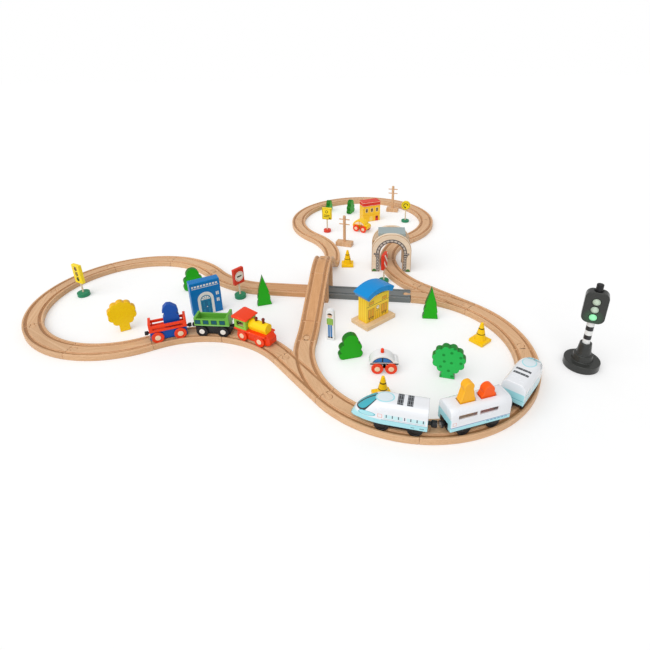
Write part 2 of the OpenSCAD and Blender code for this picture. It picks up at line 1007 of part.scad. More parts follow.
module toy_wheels(p, a, s) {
    at_car(p, a)
        wheel_pair(s * toy_base / 2, toy_wheel + 0.1, toy_wheel, toy_half, 3.6);
}
module white_car_front_wheels() {
    color([0.85, 0.15, 0.1])
        toy_wheels(white_at, 6, 1);
}
module white_car_rear_wheels() {
    color([0.85, 0.15, 0.1])
        toy_wheels(white_at, 6, -1);
}
module yellow_car_front_wheels() {
    color([0.85, 0.15, 0.1])
        toy_wheels(yellow_at, -25, 1);
}
module yellow_car_rear_wheels() {
    color([0.85, 0.15, 0.1])
        toy_wheels(yellow_at, -25, -1);
}

// Buildings
module at_block() {
    p = lc + [188, -26];
    translate([p[0], p[1], 0])
        rotate([0, 0, 36.5])
            children();
}
module blue_block() {
    color([0, 0.41, 0.65])
        at_block()
            translate([-block_len / 2, -10, 0])
                cube([block_len, 20, block_h]);
}
station_at = rc + [-77, 104];
module at_station() {
    translate([station_at[0], station_at[1], 0])
        rotate([0, 0, 48])
            children();
}
station_base_h = 9;
module station_house() {
    color([0.98, 0.83, 0.25])
        at_station() {
            translate([-station_len / 2, -station_dep / 2, 0])
                cube([station_len, station_dep, station_base_h]);
            difference() {
                translate([-station_len / 2 + 9, -12, station_base_h + 0.05])
                    cube([station_len - 18, 24, station_wall]);
                translate([0, 40, station_base_h + station_wall - station_roof_r + 8])
                    rotate([90, 0, 0])
                        difference() {
                            translate([-60, station_roof_r - 30, 0])
                                cube([120, 60, 80]);
                            cylinder(r = station_roof_r - 0.1, h = 80, $fn = 180);
                        }
            }
        }
}
module station_roof() {
    half = asin(station_roof_len / 2 / (station_roof_r + 6));
    color([0, 0.57, 0.84])
        at_station()
            translate([0, 20, station_base_h + station_wall - station_roof_r + 8])
                rotate([90, 0, 0])
                    linear_extrude(40)
                        intersection() {
                            difference() {
                                circle(r = station_roof_r + 12, $fn = 180);
                                circle(r = station_roof_r, $fn = 180);
                            }
                            wedge(90 - half, 90 + half, 2 * station_roof_r);
                        }
}
module at_market() {
    p = tc + [24, 22];
    translate([p[0], p[1], 0])
        rotate([0, 0, 27])
            children();
}
module market_house() {
    color([0.98, 0.75, 0.16])
        at_market()
            translate([-market_len / 2, -15, 0])
                cube([market_len, 30, market_h]);
}

// Signs, poles and cones
module at_sign(p, a) {
    translate([p[0], p[1], 0])
        rotate([0, 0, a])
            children();
}
light_at = lc + [-133, 14];
red_at = [-184, -34];
square_at = tc + [-97, -90];
round_at = tc + [136, 15];
cross_at = uc + [-206, -120];
module stand(br, bh, top) {
    cylinder(r = br, h = bh);
    cylinder(d = post_d, h = top);
}
module sign_stands() {
    color([0, 0.47, 0.31]) {
        at_sign(light_at, 0)
            stand(14, 9, 60);
        at_sign(red_at, 0)
            stand(13, 9, 52);
        at_sign(square_at, 0)
            stand(11, 8, 55);
        at_sign(round_at, 0)
            stand(12, 6, 52);
        at_sign(cross_at, 0)
            stand(12, 6, 52);
    }
}
module board(w, z0, h, t) {
    difference() {
        translate([-w / 2, -t / 2, z0])
            cube([w, t, h]);
        translate([0, 0, z0 - 1])
            cylinder(d = post_d + 0.1, h = h * 0.7);
    }
}
module disc(z, r, t, top) {
    difference() {
        translate([0, t / 2, z])
            rotate([90, 0, 0])
                cylinder(r = r, h = t);
        translate([0, 0, z - r - 1])
            cylinder(d = post_d + 0.1, h = top - z + r + 1.1);
    }
}
module sign_boards() {
    color([0.94, 0.78, 0.12]) {
        at_sign(light_at, -20)
            board(26, 34, 46, 8);
        at_sign(red_at, 58)
            board(28, 36, 38, 8);
        at_sign(square_at, -8)
            board(29, 40, 36, 8);
        at_sign(round_at, -4)
            disc(54, 14, 8, 52.1);
        at_sign(cross_at, 76)
            board(28, 36, 38, 8);
    }
}
module pole(h, w) {
    bar = [0.88, 0.72];
    difference() {
        union() {
            translate([-w / 2, -11, 0])
                cube([w, 22, 12]);
            translate([0, 0, 11])
                cylinder(d = 8, h = h - 11);
        }
        for (k = bar)
            translate([0, 0, h * k])
                rotate([0, 90, 0])
                    cylinder(d = 3.1, h = 40, center = true);
    }
    for (k = bar)
        translate([0, 0, h * k])
            rotate([0, 90, 0])
                cylinder(d = 3, h = 30, center = true);
}
module telegraph_poles() {
    color([0.84, 0.66, 0.51]) {
        at_sign([20, bendy + 122], -12)
            pole(88, 46);
        at_sign(tc + [94, 111], -8)
            pole(86, 38);
    }
}
module cone() {
    translate([-cone_base / 2, -cone_base / 2, 0])
        cube([cone_base, cone_base, 6]);
    translate([0, 0, 5])
        cylinder(r1 = 11, r2 = 2.5, h = cone_h - 5);
}
module traffic_cones() {
    color([0.94, 0.75, 0.08]) {
        at_sign([42, bendy - 5], 6)
            cone();
        at_sign(rc + [-49, -126], 20)
            cone();
        at_sign(rc + [129, 50], 48)
            cone();
    }
}

// Slab trees stand upright: side view in x and z, thickness along y
module upright(p, a, t = slab) {
    at_sign(p, a)
        translate([0, t / 2, 0])
            rotate([90, 0, 0])
                linear_extrude(t)
                    children();
}
module conifer_face() {
    right = [[16, 0], [14.6, 8], [12, 12], [14.2, 16], [12.6, 25], [10.4, 29], [11.8, 33]];
    left = [for (k = [6 : -1 : 0]) [-right[k][0], right[k][1]]];
    polygon(concat(right, [[0, 72]], left));
}
module bush_face(s) {
    scale(s) {
        translate([-14, 0])
            square([28, 30]);
        translate([0, 36])
            circle(r = 14);
        for (k = [-1, 1]) {
            translate([k * 14, 8])
                circle(r = 8);
            translate([k * 11.5, 22])
                circle(r = 9);
        }
    }
}
module round_tree_face() {
    polygon([[-13, 0], [13, 0], [9, 14], [-9, 14]]);
    translate([0, 37])
        circle(r = 25);
    for (k = [0 : 10])
        translate([0, 37] + 21 * dir(k * 360 / 11 + 8))
            circle(r = 7);
}
module scallop_tree_face() {
    translate([-10, 0])
        square([20, 24]);
    translate([0, 40])
        circle(r = 22);
    for (k = [0 : 9])
        translate([0, 40] + 19.5 * dir(k * 36 + 18))
            circle(r = 8.5);
}
module slab_trees() {
    color([0.14, 0.62, 0.06]) {
        upright([-121, -58], 24)
            conifer_face();
        upright(rc + [39, 126], 2)
            conifer_face();
        upright(rc + [-112, -26], 22)
            bush_face(1.02);
        upright(lc + [116, 72], 34)
            bush_face(1.08);
        upright(rc + [59, -61], -8)
            round_tree_face();
        upright(lc + [43, -110], 36)
            scallop_tree_face();
        upright(tc + [-118, 96], 78)
            bush_face(0.76);
        upright(tc + [-44, 84], 72)
            bush_face(0.9);
    }
}
module figure() {
    color([0.95, 0.95, 0.93])
        upright(rc + [-155, 26], -10, 9) {
            translate([-8, 0])
                square([16, 60]);
            translate([0, 60])
                circle(r = 8);
        }
}

// Signal lamp
signal_at = rc + [293, -2];
module at_signal() {
    translate([signal_at[0], signal_at[1], 0])
        rotate([0, 0, -20])
            children();
}
module signal_base() {
    color([0.31, 0.31, 0.29])
        at_signal()
            difference() {
                union() {
                    cylinder(r = signal_base_r, h = 14);
                    cylinder(r1 = 21, r2 = 15, h = 26);
                    cylinder(r1 = 15, r2 = 9.5, h = 48);
                }
                translate([0, 0, 20])
                    cylinder(r = post_r + 0.05, h = 60);
            }
}
module signal_post_tube() {
    color([0.95, 0.95, 0.95])
        at_signal()
            translate([0, 0, 20.1])
                cylinder(r = post_r, h = signal_post - 8);
}
head_z = signal_post - 4;
head_d = 18;
button_r = 5.4;
post_r = 6;
button_bore = 14;
lamp_r = 6;
lamp_y = -7;
lamp_dome = 8.6;
module head_face() {
    w = signal_head_w / 2;
    c = 11;
    translate([-w, c])
        square([2 * w, signal_head_h - 2 * c]);
    translate([c - w, 0])
        square([2 * w - 2 * c, signal_head_h]);
    for (x = [c - w, w - c])
        for (z = [c, signal_head_h - c])
            translate([x, z])
                circle(r = c);
}
lamp_z = [for (k = [-1, 0, 1]) head_z + signal_head_h / 2 + k * 14.5 - 3];
// A lamp is a slice of a ball on a short round foot
module lamp() {
    seat = head_d / 2 + lamp_y;
    intersection() {
        translate([0, 0, seat - sqrt(lamp_dome * lamp_dome - lamp_r * lamp_r)])
            sphere(r = lamp_dome);
        cylinder(r = lamp_r, h = 20);
    }
    cylinder(r = lamp_r, h = seat);
}
module signal_head() {
    color([0.31, 0.31, 0.29])
        at_signal() {
            difference() {
                translate([0, head_d / 2, head_z])
                    rotate([90, 0, 0])
                        linear_extrude(head_d)
                            head_face();
                translate([0, 0, head_z - 1])
                    cylinder(r = post_r + 0.05, h = signal_post + 12.2 - head_z + 1);
                translate([0, 0, head_z + signal_head_h - button_bore])
                    cylinder(r = button_r + 0.3, h = 30);
                for (z = lamp_z)
                    translate([0, lamp_y, z])
                        rotate([90, 0, 0])
                            cylinder(r = lamp_r + 0.1, h = 20);
            }
            for (z = lamp_z)
                translate([0, lamp_y - 0.1, z])
                    rotate([90, 0, 0])
                        lamp();
        }
}
module signal_button() {
    color([0.1, 0.1, 0.1])
        at_signal()
            translate([0, 0, head_z + signal_head_h - button_bore + button_travel + 1])
                cylinder(r = button_r, h = 25 - button_travel);
}

right_loop_curves();
left_loop_curves();
top_loop_curves();
lower_switch();
right_switch();
wood_straight();
grey_straight();
near_ramp();
far_ramp();
bridge_piers();
tunnel_portals();
tunnel_roof();
engine_chassis();
engine_boiler();
engine_cab();
engine_roof();
engine_front_wheels();
engine_rear_wheels();
green_wagon_chassis();
green_wagon_box();
green_front_wheels();
green_rear_wheels();
red_wagon_chassis();
red_wagon_tray();
red_front_wheels();
red_rear_wheels();
blue_cargo();
express_loco();
loco_front_wheels();
loco_rear_wheels();
express_car();
car_front_wheels();
car_rear_wheels();
express_tail();
tail_front_wheels();
tail_rear_wheels();
yellow_cargo();
orange_cargo();
white_car();
white_car_front_wheels();
white_car_rear_wheels();
yellow_car();
yellow_car_front_wheels();
yellow_car_rear_wheels();
blue_block();
station_house();
station_roof();
market_house();
sign_boards();
sign_stands();
telegraph_poles();
traffic_cones();
slab_trees();
figure();
signal_base();
signal_post_tube();
signal_head();
signal_button();
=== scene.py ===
import json
import math
import bmesh
import bpy
import numpy as np
from mathutils import Matrix


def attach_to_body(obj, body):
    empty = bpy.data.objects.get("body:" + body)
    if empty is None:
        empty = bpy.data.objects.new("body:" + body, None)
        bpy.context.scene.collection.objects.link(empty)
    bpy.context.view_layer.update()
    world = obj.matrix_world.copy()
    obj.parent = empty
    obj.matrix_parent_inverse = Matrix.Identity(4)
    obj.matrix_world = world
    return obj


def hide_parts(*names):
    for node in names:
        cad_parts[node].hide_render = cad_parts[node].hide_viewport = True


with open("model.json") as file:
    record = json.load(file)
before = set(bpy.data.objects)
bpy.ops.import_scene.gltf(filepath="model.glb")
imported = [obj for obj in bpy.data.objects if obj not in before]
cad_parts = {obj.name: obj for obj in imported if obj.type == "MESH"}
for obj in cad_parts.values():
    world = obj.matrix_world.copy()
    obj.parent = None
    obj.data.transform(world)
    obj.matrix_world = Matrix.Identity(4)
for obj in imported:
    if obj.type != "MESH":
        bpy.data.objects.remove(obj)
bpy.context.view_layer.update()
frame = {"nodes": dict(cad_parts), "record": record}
bodyOf = {node: body for body, nodes in frame["record"]["behaviour"]["bodies"].items() for node in nodes}
chance = np.random.default_rng(41)
mm = 0.001  # a millimetre in metres
print("frame loaded:", len(frame["nodes"]), "nodes")

# where everything stands, in millimetres and degrees, as in the solids
layout = {
    "radius": 200.0, "trackWidth": 40.0, "armLead": 3.5,
    "lowSwitch": 225.0, "highSwitch": 52.0, "leftDir": 128.5, "topDir": 136.5,
    "steamBase": 42.0, "engineAt": 67.0, "steamStep": 25.6,
    "expressBase": 48.0, "locoAt": 263.4, "expressStep": 32.0,
}


def toward(angle):
    # unit vector at an angle from +X
    return np.array([math.cos(math.radians(angle)), math.sin(math.radians(angle))])


loopR = layout["radius"]
arm = math.sqrt(2 * loopR * layout["trackWidth"]) + layout["armLead"]
rightLoop = np.array([loopR, -loopR])
lowerBend = rightLoop + 2 * loopR * toward(layout["lowSwitch"]) + arm * toward(layout["lowSwitch"] - 90)
upperBend = rightLoop + 2 * loopR * toward(layout["highSwitch"]) + arm * toward(layout["highSwitch"] + 90)
leftLoop = lowerBend + 2 * loopR * toward(layout["leftDir"])
topLoop = upperBend + 2 * loopR * toward(layout["topDir"])


def onLoop(centre, base, angle, turn=0.0):
    # both axles lie on the loop's line, so the middle of the chord lies base^2 / 8R inside it
    middle = centre + (loopR - base * base / 8 / loopR) * toward(angle)
    return (middle[0], middle[1], angle - 90 + turn)


def standing(near, dx, dy, turn):
    # a spot is x, y and the turn there, here set off from a loop's centre
    return (near[0] + dx, near[1] + dy, turn)


origin = np.zeros(2)
steamSpots = [onLoop(lowerBend, layout["steamBase"], layout["engineAt"] + k * layout["steamStep"])
              for k in range(3)]
expressSpots = [onLoop(rightLoop, layout["expressBase"], layout["locoAt"] + k * layout["expressStep"],
                       180.0 if k == 2 else 0.0) for k in range(3)]
spots = {
    "whiteCar": standing(rightLoop, -50, -54, 6), "yellowCar": standing(topLoop, 6, -74, -25),
    "block": standing(leftLoop, 188, -26, 36.5), "station": standing(rightLoop, -77, 104, 48),
    "market": standing(topLoop, 24, 22, 27),
    "lightSign": standing(leftLoop, -133, 14, -20), "redSign": standing(origin, -184, -34, 58),
    "squareSign": standing(topLoop, -97, -90, -8), "roundSign": standing(topLoop, 136, 15, -4),
    "crossSign": standing(upperBend, -206, -120, 76),
    "bridgeConifer": standing(origin, -121, -58, 24), "loopConifer": standing(rightLoop, 39, 126, 2),
    "stationBush": standing(rightLoop, -112, -26, 22), "blockBush": standing(leftLoop, 116, 72, 34),
    "dottedTree": standing(rightLoop, 59, -61, -8), "scallopTree": standing(leftLoop, 43, -110, 36),
    "topBushLeft": standing(topLoop, -118, 96, 78), "topBushRight": standing(topLoop, -44, 84, 72),
    "figure": standing(rightLoop, -155, 26, -10), "signal": standing(rightLoop, 293, -2, -20),
    "tunnel": standing(upperBend + loopR * toward(190), 5, 0, 183),
}


def seat(points, spot):
    # turns local millimetres by the spot's angle, carries them to the spot and gives metres
    x, y, turn = spot
    c, s = math.cos(math.radians(turn)), math.sin(math.radians(turn))
    px, py, pz = np.moveaxis(np.asarray(points, float), -1, 0)
    return np.stack([c * px - s * py + x, s * px + c * py + y, pz], -1) * mm


# shader maths: a wire is a socket, and arithmetic on it adds Math nodes
class Wire:
    def __init__(self, finish, socket):
        self.finish, self.socket = finish, socket

    def math(self, operation, *values):
        return self.finish.node("ShaderNodeMath", {"operation": operation}, dict(enumerate(values)))

    def __add__(self, other):
        return self.math("ADD", self, other)

    def __radd__(self, other):
        return self.math("ADD", other, self)

    def __sub__(self, other):
        return self.math("SUBTRACT", self, other)

    def __rsub__(self, other):
        return self.math("SUBTRACT", other, self)

    def __mul__(self, other):
        return self.math("MULTIPLY", self, other)

    def __rmul__(self, other):
        return self.math("MULTIPLY", other, self)

    def __truediv__(self, other):
        return self.math("DIVIDE", self, other)

    def __rtruediv__(self, other):
        return self.math("DIVIDE", other, self)

    def __or__(self, other):
        return self.math("MAXIMUM", self, other)

    def __and__(self, other):
        return self.math("MINIMUM", self, other)

    def __abs__(self):
        return self.math("ABSOLUTE", self)

    def root(self):
        return self.math("SQRT", self)

    def wrap(self, period):
        # distance from the nearest whole multiple of the period
        return self.math("PINGPONG", self, period / 2)

    def angleTo(self, other):
        return self.math("ARCTAN2", self, other)

    def above(self, edge, soft=0.25):
        # 1 above the edge and 0 below it, blended over the soft width
        return self.finish.node("ShaderNodeMapRange", {"clamp": True},
                                {"Value": self, "From Min": edge - soft / 2, "From Max": edge + soft / 2})

    def below(self, edge, soft=0.25):
        return self.finish.node("ShaderNodeMapRange", {"clamp": True},
                                {"Value": self, "From Min": edge - soft / 2, "From Max": edge + soft / 2,
                                 "To Min": 1.0, "To Max": 0.0})

    def within(self, low, high, soft=0.25):
        return self.above(low, soft) & self.below(high, soft)


def tint(red, green, blue):
    # a colour read as 0 to 255, made linear
    v = np.array([red, green, blue]) / 255.0
    return tuple(float(x) for x in np.where(v <= 0.04045, v / 12.92, ((v + 0.055) / 1.055) ** 2.4))


class Finish:
    def __init__(self, name, owner=None):
        self.material = owner or bpy.data.materials.new(name)
        self.material.use_nodes = True
        self.tree = self.material.node_tree
        self.tree.nodes.clear()

    def node(self, kind, settings=None, sockets=None, output=0):
        made = self.tree.nodes.new(kind)
        for key, value in (settings or {}).items():
            setattr(made, key, value)
        for key, value in (sockets or {}).items():
            if isinstance(value, Wire):
                self.tree.links.new(value.socket, made.inputs[key])
            elif value is not None:
                made.inputs[key].default_value = (*value, 1.0) if made.inputs[key].type == "RGBA" else value
        return Wire(self, made.outputs[output]) if made.outputs else None

    def attribute(self, name, output):
        # output 1 is a vector, output 2 a number
        return self.node("ShaderNodeAttribute", {"attribute_name": name}, None, output)

    def grain(self):
        # millimetres along, across and through the plank
        return self.attribute("grain", 1)

    def place(self, spot=(0.0, 0.0, 0.0)):
        # Object coordinates in millimetres, moved and turned back to the spot
        x, y, turn = spot
        c, s = math.cos(math.radians(turn)), math.sin(math.radians(turn))
        world = self.node("ShaderNodeTexCoord", None, None, 3)  # output 3 is Object
        return self.node("ShaderNodeMapping", None, {
            "Vector": world, "Scale": (1000.0, 1000.0, 1000.0), "Rotation": (0.0, 0.0, math.radians(-turn)),
            "Location": (-(c * x + s * y), -(c * y - s * x), 0.0)})

    def split(self, vector):
        first = self.node("ShaderNodeSeparateXYZ", None, {0: vector})
        return [Wire(self, first.socket.node.outputs[k]) for k in range(3)]

    def stretch(self, vector, factors):
        return self.node("ShaderNodeVectorMath", {"operation": "MULTIPLY"}, {0: vector, 1: factors})

    def noise(self, vector, scale, detail=2.0, rough=0.5, warp=0.0):
        return self.node("ShaderNodeTexNoise", None, {
            "Vector": vector, "Scale": scale, "Detail": detail, "Roughness": rough, "Distortion": warp})

    def mix(self, share, first, second):
        # sockets 6 and 7 are the node's two colours, and output 2 is the mixed one
        return self.node("ShaderNodeMix", {"data_type": "RGBA"}, {0: share, 6: first, 7: second}, 2)

    def draw(self, body, face, marks):
        # prints every (mask, ink) in turn where the face is
        for mask, ink in marks:
            body = self.mix(face & mask, body, ink)
        return body

    def scaled(self, color, factor):
        return self.node("ShaderNodeVectorMath", {"operation": "SCALE"}, {0: color, "Scale": factor})

    def close(self, color, rough, height=None, depth=0.05, fixed=None):
        # the surface: depth is the height map's full range in millimetres
        sockets = {"Base Color": color, "Roughness": rough, **(fixed or {})}
        if height is not None:
            sockets["Normal"] = self.node("ShaderNodeBump", None, {"Height": height, "Distance": depth * mm})
        shader = self.node("ShaderNodeBsdfPrincipled", None, sockets)
        self.node("ShaderNodeOutputMaterial", None, {0: shader})
        return self


def reachFrom(x, z, cx, cz):
    # distance from a point
    dx = x - cx if cx else x
    dz = z - cz if cz else z
    return (dx * dx + dz * dz).root()


def ovalFrom(x, z, cx, cz, wide, high):
    # 1 on the rim of an oval, less inside it
    return reachFrom((x - cx) / wide, (z - cz if cz else z) / high, 0.0, 0.0)


def disc(x, z, cx, cz, radius):
    # 1 inside a circle
    return reachFrom(x, z, cx, cz).below(radius)


def plate(x, z, cx, cz, wide, high):
    # 1 inside a rectangle
    return abs(x - cx).below(wide / 2) & abs(z - cz).below(high / 2)


def outline(x, z, cx, cz, wide, high, line=0.8):
    # a line round a rectangle
    return plate(x, z, cx, cz, wide + line, high + line) & (1 - plate(x, z, cx, cz, wide - line, high - line))


# how fast the wood's figure changes along, across and through the plank, per millimetre
woodLook = {"bands": (0.005, 0.09, 0.16), "lines": (0.014, 0.8, 0.8), "fibres": (0.07, 3.4, 3.4),
            "flecks": (0.32, 1.7, 1.7)}


# natural wood: growth bands, fibres and short ray flecks, all drawn along the plank
def woodFinish(name, pale, deep, rough=0.46, fleck=0.4, coat=0.12):
    f = Finish(name)
    grain = f.grain()
    bands = f.noise(f.stretch(grain, woodLook["bands"]), 1.0, 2.0, 0.5, 0.5)
    lines = f.noise(f.stretch(grain, woodLook["lines"]), 1.0, 3.0, 0.6, 0.2)
    fibres = f.noise(f.stretch(grain, woodLook["fibres"]), 1.0, 2.0, 0.6)
    flecks = f.noise(f.stretch(grain, woodLook["flecks"]), 1.0, 1.0, 0.4).above(0.66, 0.06)
    body = f.mix(bands.within(0.36, 0.66, 0.3) * 0.55 + lines.above(0.55, 0.3) * 0.35, pale, deep)
    body = f.mix(flecks * fleck, body, tuple(0.55 * c for c in deep))
    body = f.scaled(body, f.attribute("tone", 2) * (0.94 + fibres * 0.12))
    relief = lines * 0.4 + fibres * 0.6 - flecks * 0.5
    return f.close(body, rough + lines * 0.12 - flecks * 0.05, relief, 0.05,
                   {"Coat Weight": coat, "Coat Roughness": 0.35, "Specular IOR Level": 0.3})


# the sanded edge of a wooden piece: smoother and a little paler
def sandedFinish(name, pale, deep):
    f = Finish(name)
    lines = f.noise(f.stretch(f.grain(), (0.02, 1.1, 1.1)), 1.0, 3.0, 0.6)
    rub = f.noise(f.place(), 0.09, 3.0, 0.6)
    body = f.mix(lines.above(0.5, 0.4) * 0.6 + rub.above(0.62, 0.1) * 0.3, pale, deep)
    return f.close(f.scaled(body, f.attribute("tone", 2)), 0.4 + lines * 0.1, lines, 0.03)


lacquer = {"Coat Weight": 0.08, "Coat Roughness": 0.2, "Specular IOR Level": 0.24}
paintDepth = 0.035  # height of the brush marks


def paintBase(f, color, fade=0.06):
    # brushed and lacquered paint: soft patches, the wood's fibres under it, small specks
    grain = f.grain()
    patch = f.noise(f.place(), 0.035, 3.0, 0.55)
    fibres = f.noise(f.stretch(grain, (0.05, 2.2, 2.2)), 1.0, 2.0, 0.55)
    peel = f.noise(f.place(), 1.1, 1.0, 0.5)
    level = (1.0 - fade) + patch * fade + fibres * fade
    return f.scaled(color, level), 0.3 + patch * 0.12 + fibres * 0.05, fibres * 0.6 + peel * 0.4


def paintFinish(name, color):
    # one plain paint
    f = Finish(name)
    body, rough, height = paintBase(f, color)
    return f.close(body, rough, height, paintDepth, lacquer)


def printFinish(name, spot, color, reach, marks, fade=0.05):
    # paint, printed on the two faces that lie this far from the middle: marks gives pairs of mask and ink,
    # and a third word where a mark isn't kept to those faces
    f = Finish(name)
    body, rough, height = paintBase(f, color, fade)
    x, y, z = f.split(f.place(spot))
    face = abs(y).above(reach, 0.1)
    for mask, ink, *around in marks(x, y, z):
        body = f.mix(mask if around else face & mask, body, ink)
    return f.close(body, rough, height, paintDepth, lacquer)


# edges of painted wood: thinner paint with bare rubs
def wornFinish(name, color, bare=tint(222, 186, 146)):
    f = Finish(name)
    rub = f.noise(f.place(), 0.16, 4.0, 0.65)
    fine = f.noise(f.place(), 1.4, 2.0, 0.5)
    thin = tuple(min(1.0, 1.12 * c + 0.02) for c in color)
    gone = (rub + fine * 0.12).above(0.74, 0.05)
    body = f.mix(gone, f.mix(rub.above(0.45, 0.3) * 0.6, color, thin), bare)
    return f.close(body, 0.32 + gone * 0.25, rub + gone * -0.6, 0.04, lacquer)


# moulded plastic: faint mould texture and handling marks
def plasticFinish(name, color, rough=0.34, texture=0.02):
    f = Finish(name)
    mould = f.noise(f.place(), 2.6, 2.0, 0.6)
    haze = f.noise(f.place(), 0.05, 3.0, 0.6)
    scuff = f.noise(f.stretch(f.place(), (0.5, 0.12, 0.9)), 1.0, 4.0, 0.7).above(0.68, 0.06)
    rubbed = tuple(min(1.0, 1.2 * c + 0.03) for c in color)
    body = f.mix(scuff * 0.25, f.scaled(color, 0.95 + haze * 0.1), rubbed)
    return f.close(body, rough + haze * 0.14 + scuff * 0.12, mould + scuff * -0.5, texture,
                   {"Specular IOR Level": 0.34})


# turned or stamped steel
def steelFinish(name, color=(0.62, 0.62, 0.63), rough=0.3):
    f = Finish(name)
    turn = f.noise(f.place(), 3.0, 3.0, 0.6)
    smear = f.noise(f.place(), 0.3, 2.0, 0.5)
    return f.close(f.scaled(color, 0.86 + smear * 0.24), rough + turn * 0.12 + smear * 0.1, turn, 0.015,
                   {"Metallic": 1.0})


# meshes
seamWeld, solidWeld = 2e-6, 4e-6  # metres within which two points are one


def newPiece(name, points, faces, finishes, faceFinish=None):
    mesh = bpy.data.meshes.new(name)
    corners = [list(map(int, face)) for face in faces]
    mesh.from_pydata(np.asarray(points, float).reshape(-1, 3).tolist(), [], corners)
    for finish in finishes:
        mesh.materials.append(finish.material)
    if faceFinish is not None:
        mesh.polygons.foreach_set("material_index", np.asarray(faceFinish, np.int32))
    mesh.polygons.foreach_set("use_smooth", np.ones(len(mesh.polygons), bool))
    mesh.update()
    piece = bpy.data.objects.new(name, mesh)
    bpy.context.scene.collection.objects.link(piece)
    return piece


def setGrain(piece, grain, tone):
    # the plank's own coordinates and its shade, kept on the points
    mesh = piece.data
    mesh.attributes.new("grain", "FLOAT_VECTOR", "POINT").data.foreach_set(
        "vector", np.asarray(grain, np.float32).ravel())
    mesh.attributes.new("tone", "FLOAT", "POINT").data.foreach_set(
        "value", np.broadcast_to(np.asarray(tone, np.float32), (len(mesh.vertices),)).copy())


def closeMesh(piece):
    # joins seams and poles, and turns the faces outwards
    work = bmesh.new()
    work.from_mesh(piece.data)
    bmesh.ops.remove_doubles(work, verts=work.verts, dist=seamWeld)
    bmesh.ops.recalc_face_normals(work, faces=work.faces)
    work.to_mesh(piece.data)
    work.free()


def softEdges(piece, width, steps=2, limit=32.0, worn=False):
    # rounds the edges that turn by more than the limit; worn ones take the second finish
    bevel = piece.modifiers.new("softEdges", "BEVEL")
    bevel.width, bevel.segments = width * mm, steps
    bevel.limit_method, bevel.angle_limit = "ANGLE", math.radians(limit)
    bevel.use_clamp_overlap, bevel.harden_normals = False, True
    if worn:
        bevel.material = 1
    return piece


def attach(piece, node, slot):
    # the piece stands for the node and moves with its body
    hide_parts(node)
    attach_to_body(piece, bodyOf[node])
    return piece


def solidsOf(node):
    # the node's mesh, doubles merged and flat triangles joined, split into its solids, largest first
    work = bmesh.new()
    work.from_mesh(frame["nodes"][node].data)
    bmesh.ops.remove_doubles(work, verts=work.verts, dist=solidWeld)
    bmesh.ops.dissolve_limit(work, angle_limit=0.01, verts=work.verts, edges=work.edges, delimit=set())
    flat = bpy.data.meshes.new("flat")
    work.to_mesh(flat)
    work.free()
    points = np.empty(3 * len(flat.vertices))
    pairs = np.empty(2 * len(flat.edges), int)
    corners = np.empty(len(flat.loops), int)
    starts = np.empty(len(flat.polygons), int)
    flat.vertices.foreach_get("co", points)
    flat.edges.foreach_get("vertices", pairs)
    flat.loops.foreach_get("vertex_index", corners)
    flat.polygons.foreach_get("loop_start", starts)
    bpy.data.meshes.remove(flat)
    points, (a, b) = points.reshape(-1, 3) * 1000, pairs.reshape(-1, 2).T
    label = np.arange(len(points))
    while True:  # every point takes the lowest label among its neighbours until nothing changes
        low = np.minimum(label[a], label[b])
        fresh = label.copy()
        np.minimum.at(fresh, a, low)
        np.minimum.at(fresh, b, low)
        fresh = fresh[fresh]
        if (fresh == label).all():
            break
        label = fresh
    faces = np.split(corners, starts[1:])
    owner = label[corners[starts]]
    solids = []
    for key in np.unique(label):
        chosen = np.flatnonzero(label == key)
        number = np.full(len(points), -1)
        number[chosen] = np.arange(len(chosen))
        solids.append((points[chosen], [number[faces[k]] for k in np.flatnonzero(owner == key)]))
    return sorted(solids, key=lambda s: -float(np.ptp(s[0], axis=0).prod()))


def nearest(solids, spot):
    # the solid whose middle lies closest to a spot, seen from above
    middles = [(s[0].max(0) + s[0].min(0))[:2] / 2 - np.array(spot[:2]) for s in solids]
    return solids[int(np.argmin([float(m @ m) for m in middles]))]


# groove floors are found here so that a darker wood can be painted on them as the shade in the grooves
grooveLook = {"rise": (2.2, 3.8), "near": 7.0, "level": 0.6}


def grooveFloors(solid, loops):
    # finish number of each face: 2 on the floor of a groove, which looks up and has a rim over all its corners
    low, high = grooveLook["rise"]
    numbers = []
    for loop in loops:
        ring = solid[loop]
        normal = np.cross(ring, np.roll(ring, -1, 0)).sum(0)
        normal = normal / max(np.linalg.norm(normal), 1e-9)
        sunk = normal[2] > grooveLook["level"]
        if sunk:
            gap = solid - ring[:, None]
            rise = gap @ normal
            rim = (np.hypot(gap[..., 0], gap[..., 1]) < grooveLook["near"]) & (rise > low) & (rise < high)
            sunk = rim.any(1).all()
        numbers.append(2 if sunk else 0)
    return numbers


def softPiece(name, node, finishes, slot, edge=0.7, steps=2, solids=None, spread=0.05):
    # a dressed copy of solids: edges rounded, and each solid with its own plank coordinates and tone;
    # the second finish is for the rounded edges, the third for the groove floors, where the track's darker
    # wood is painted shade
    points, faces, grains, tones, numbers, base = [], [], [], [], [], 0
    for solid, loops in solids or solidsOf(node):
        middle = (solid.max(0) + solid.min(0)) / 2
        axes = np.linalg.eigh(np.cov((solid - solid.mean(0)).T))[1]
        grains.append((solid - middle) @ axes[:, ::-1] + chance.uniform(-400, 400, 3))
        tones.append(np.full(len(solid), 1 + chance.uniform(-spread, spread)))
        points.append(solid)
        faces += [loop + base for loop in loops]
        numbers += grooveFloors(solid, loops) if len(finishes) > 2 else [0] * len(loops)
        base += len(solid)
    piece = newPiece(name, np.concatenate(points) * mm, faces, finishes, numbers)
    setGrain(piece, np.concatenate(grains), np.concatenate(tones))
    if edge:
        softEdges(piece, edge, steps, worn=len(finishes) > 1)
    return attach(piece, node, slot)


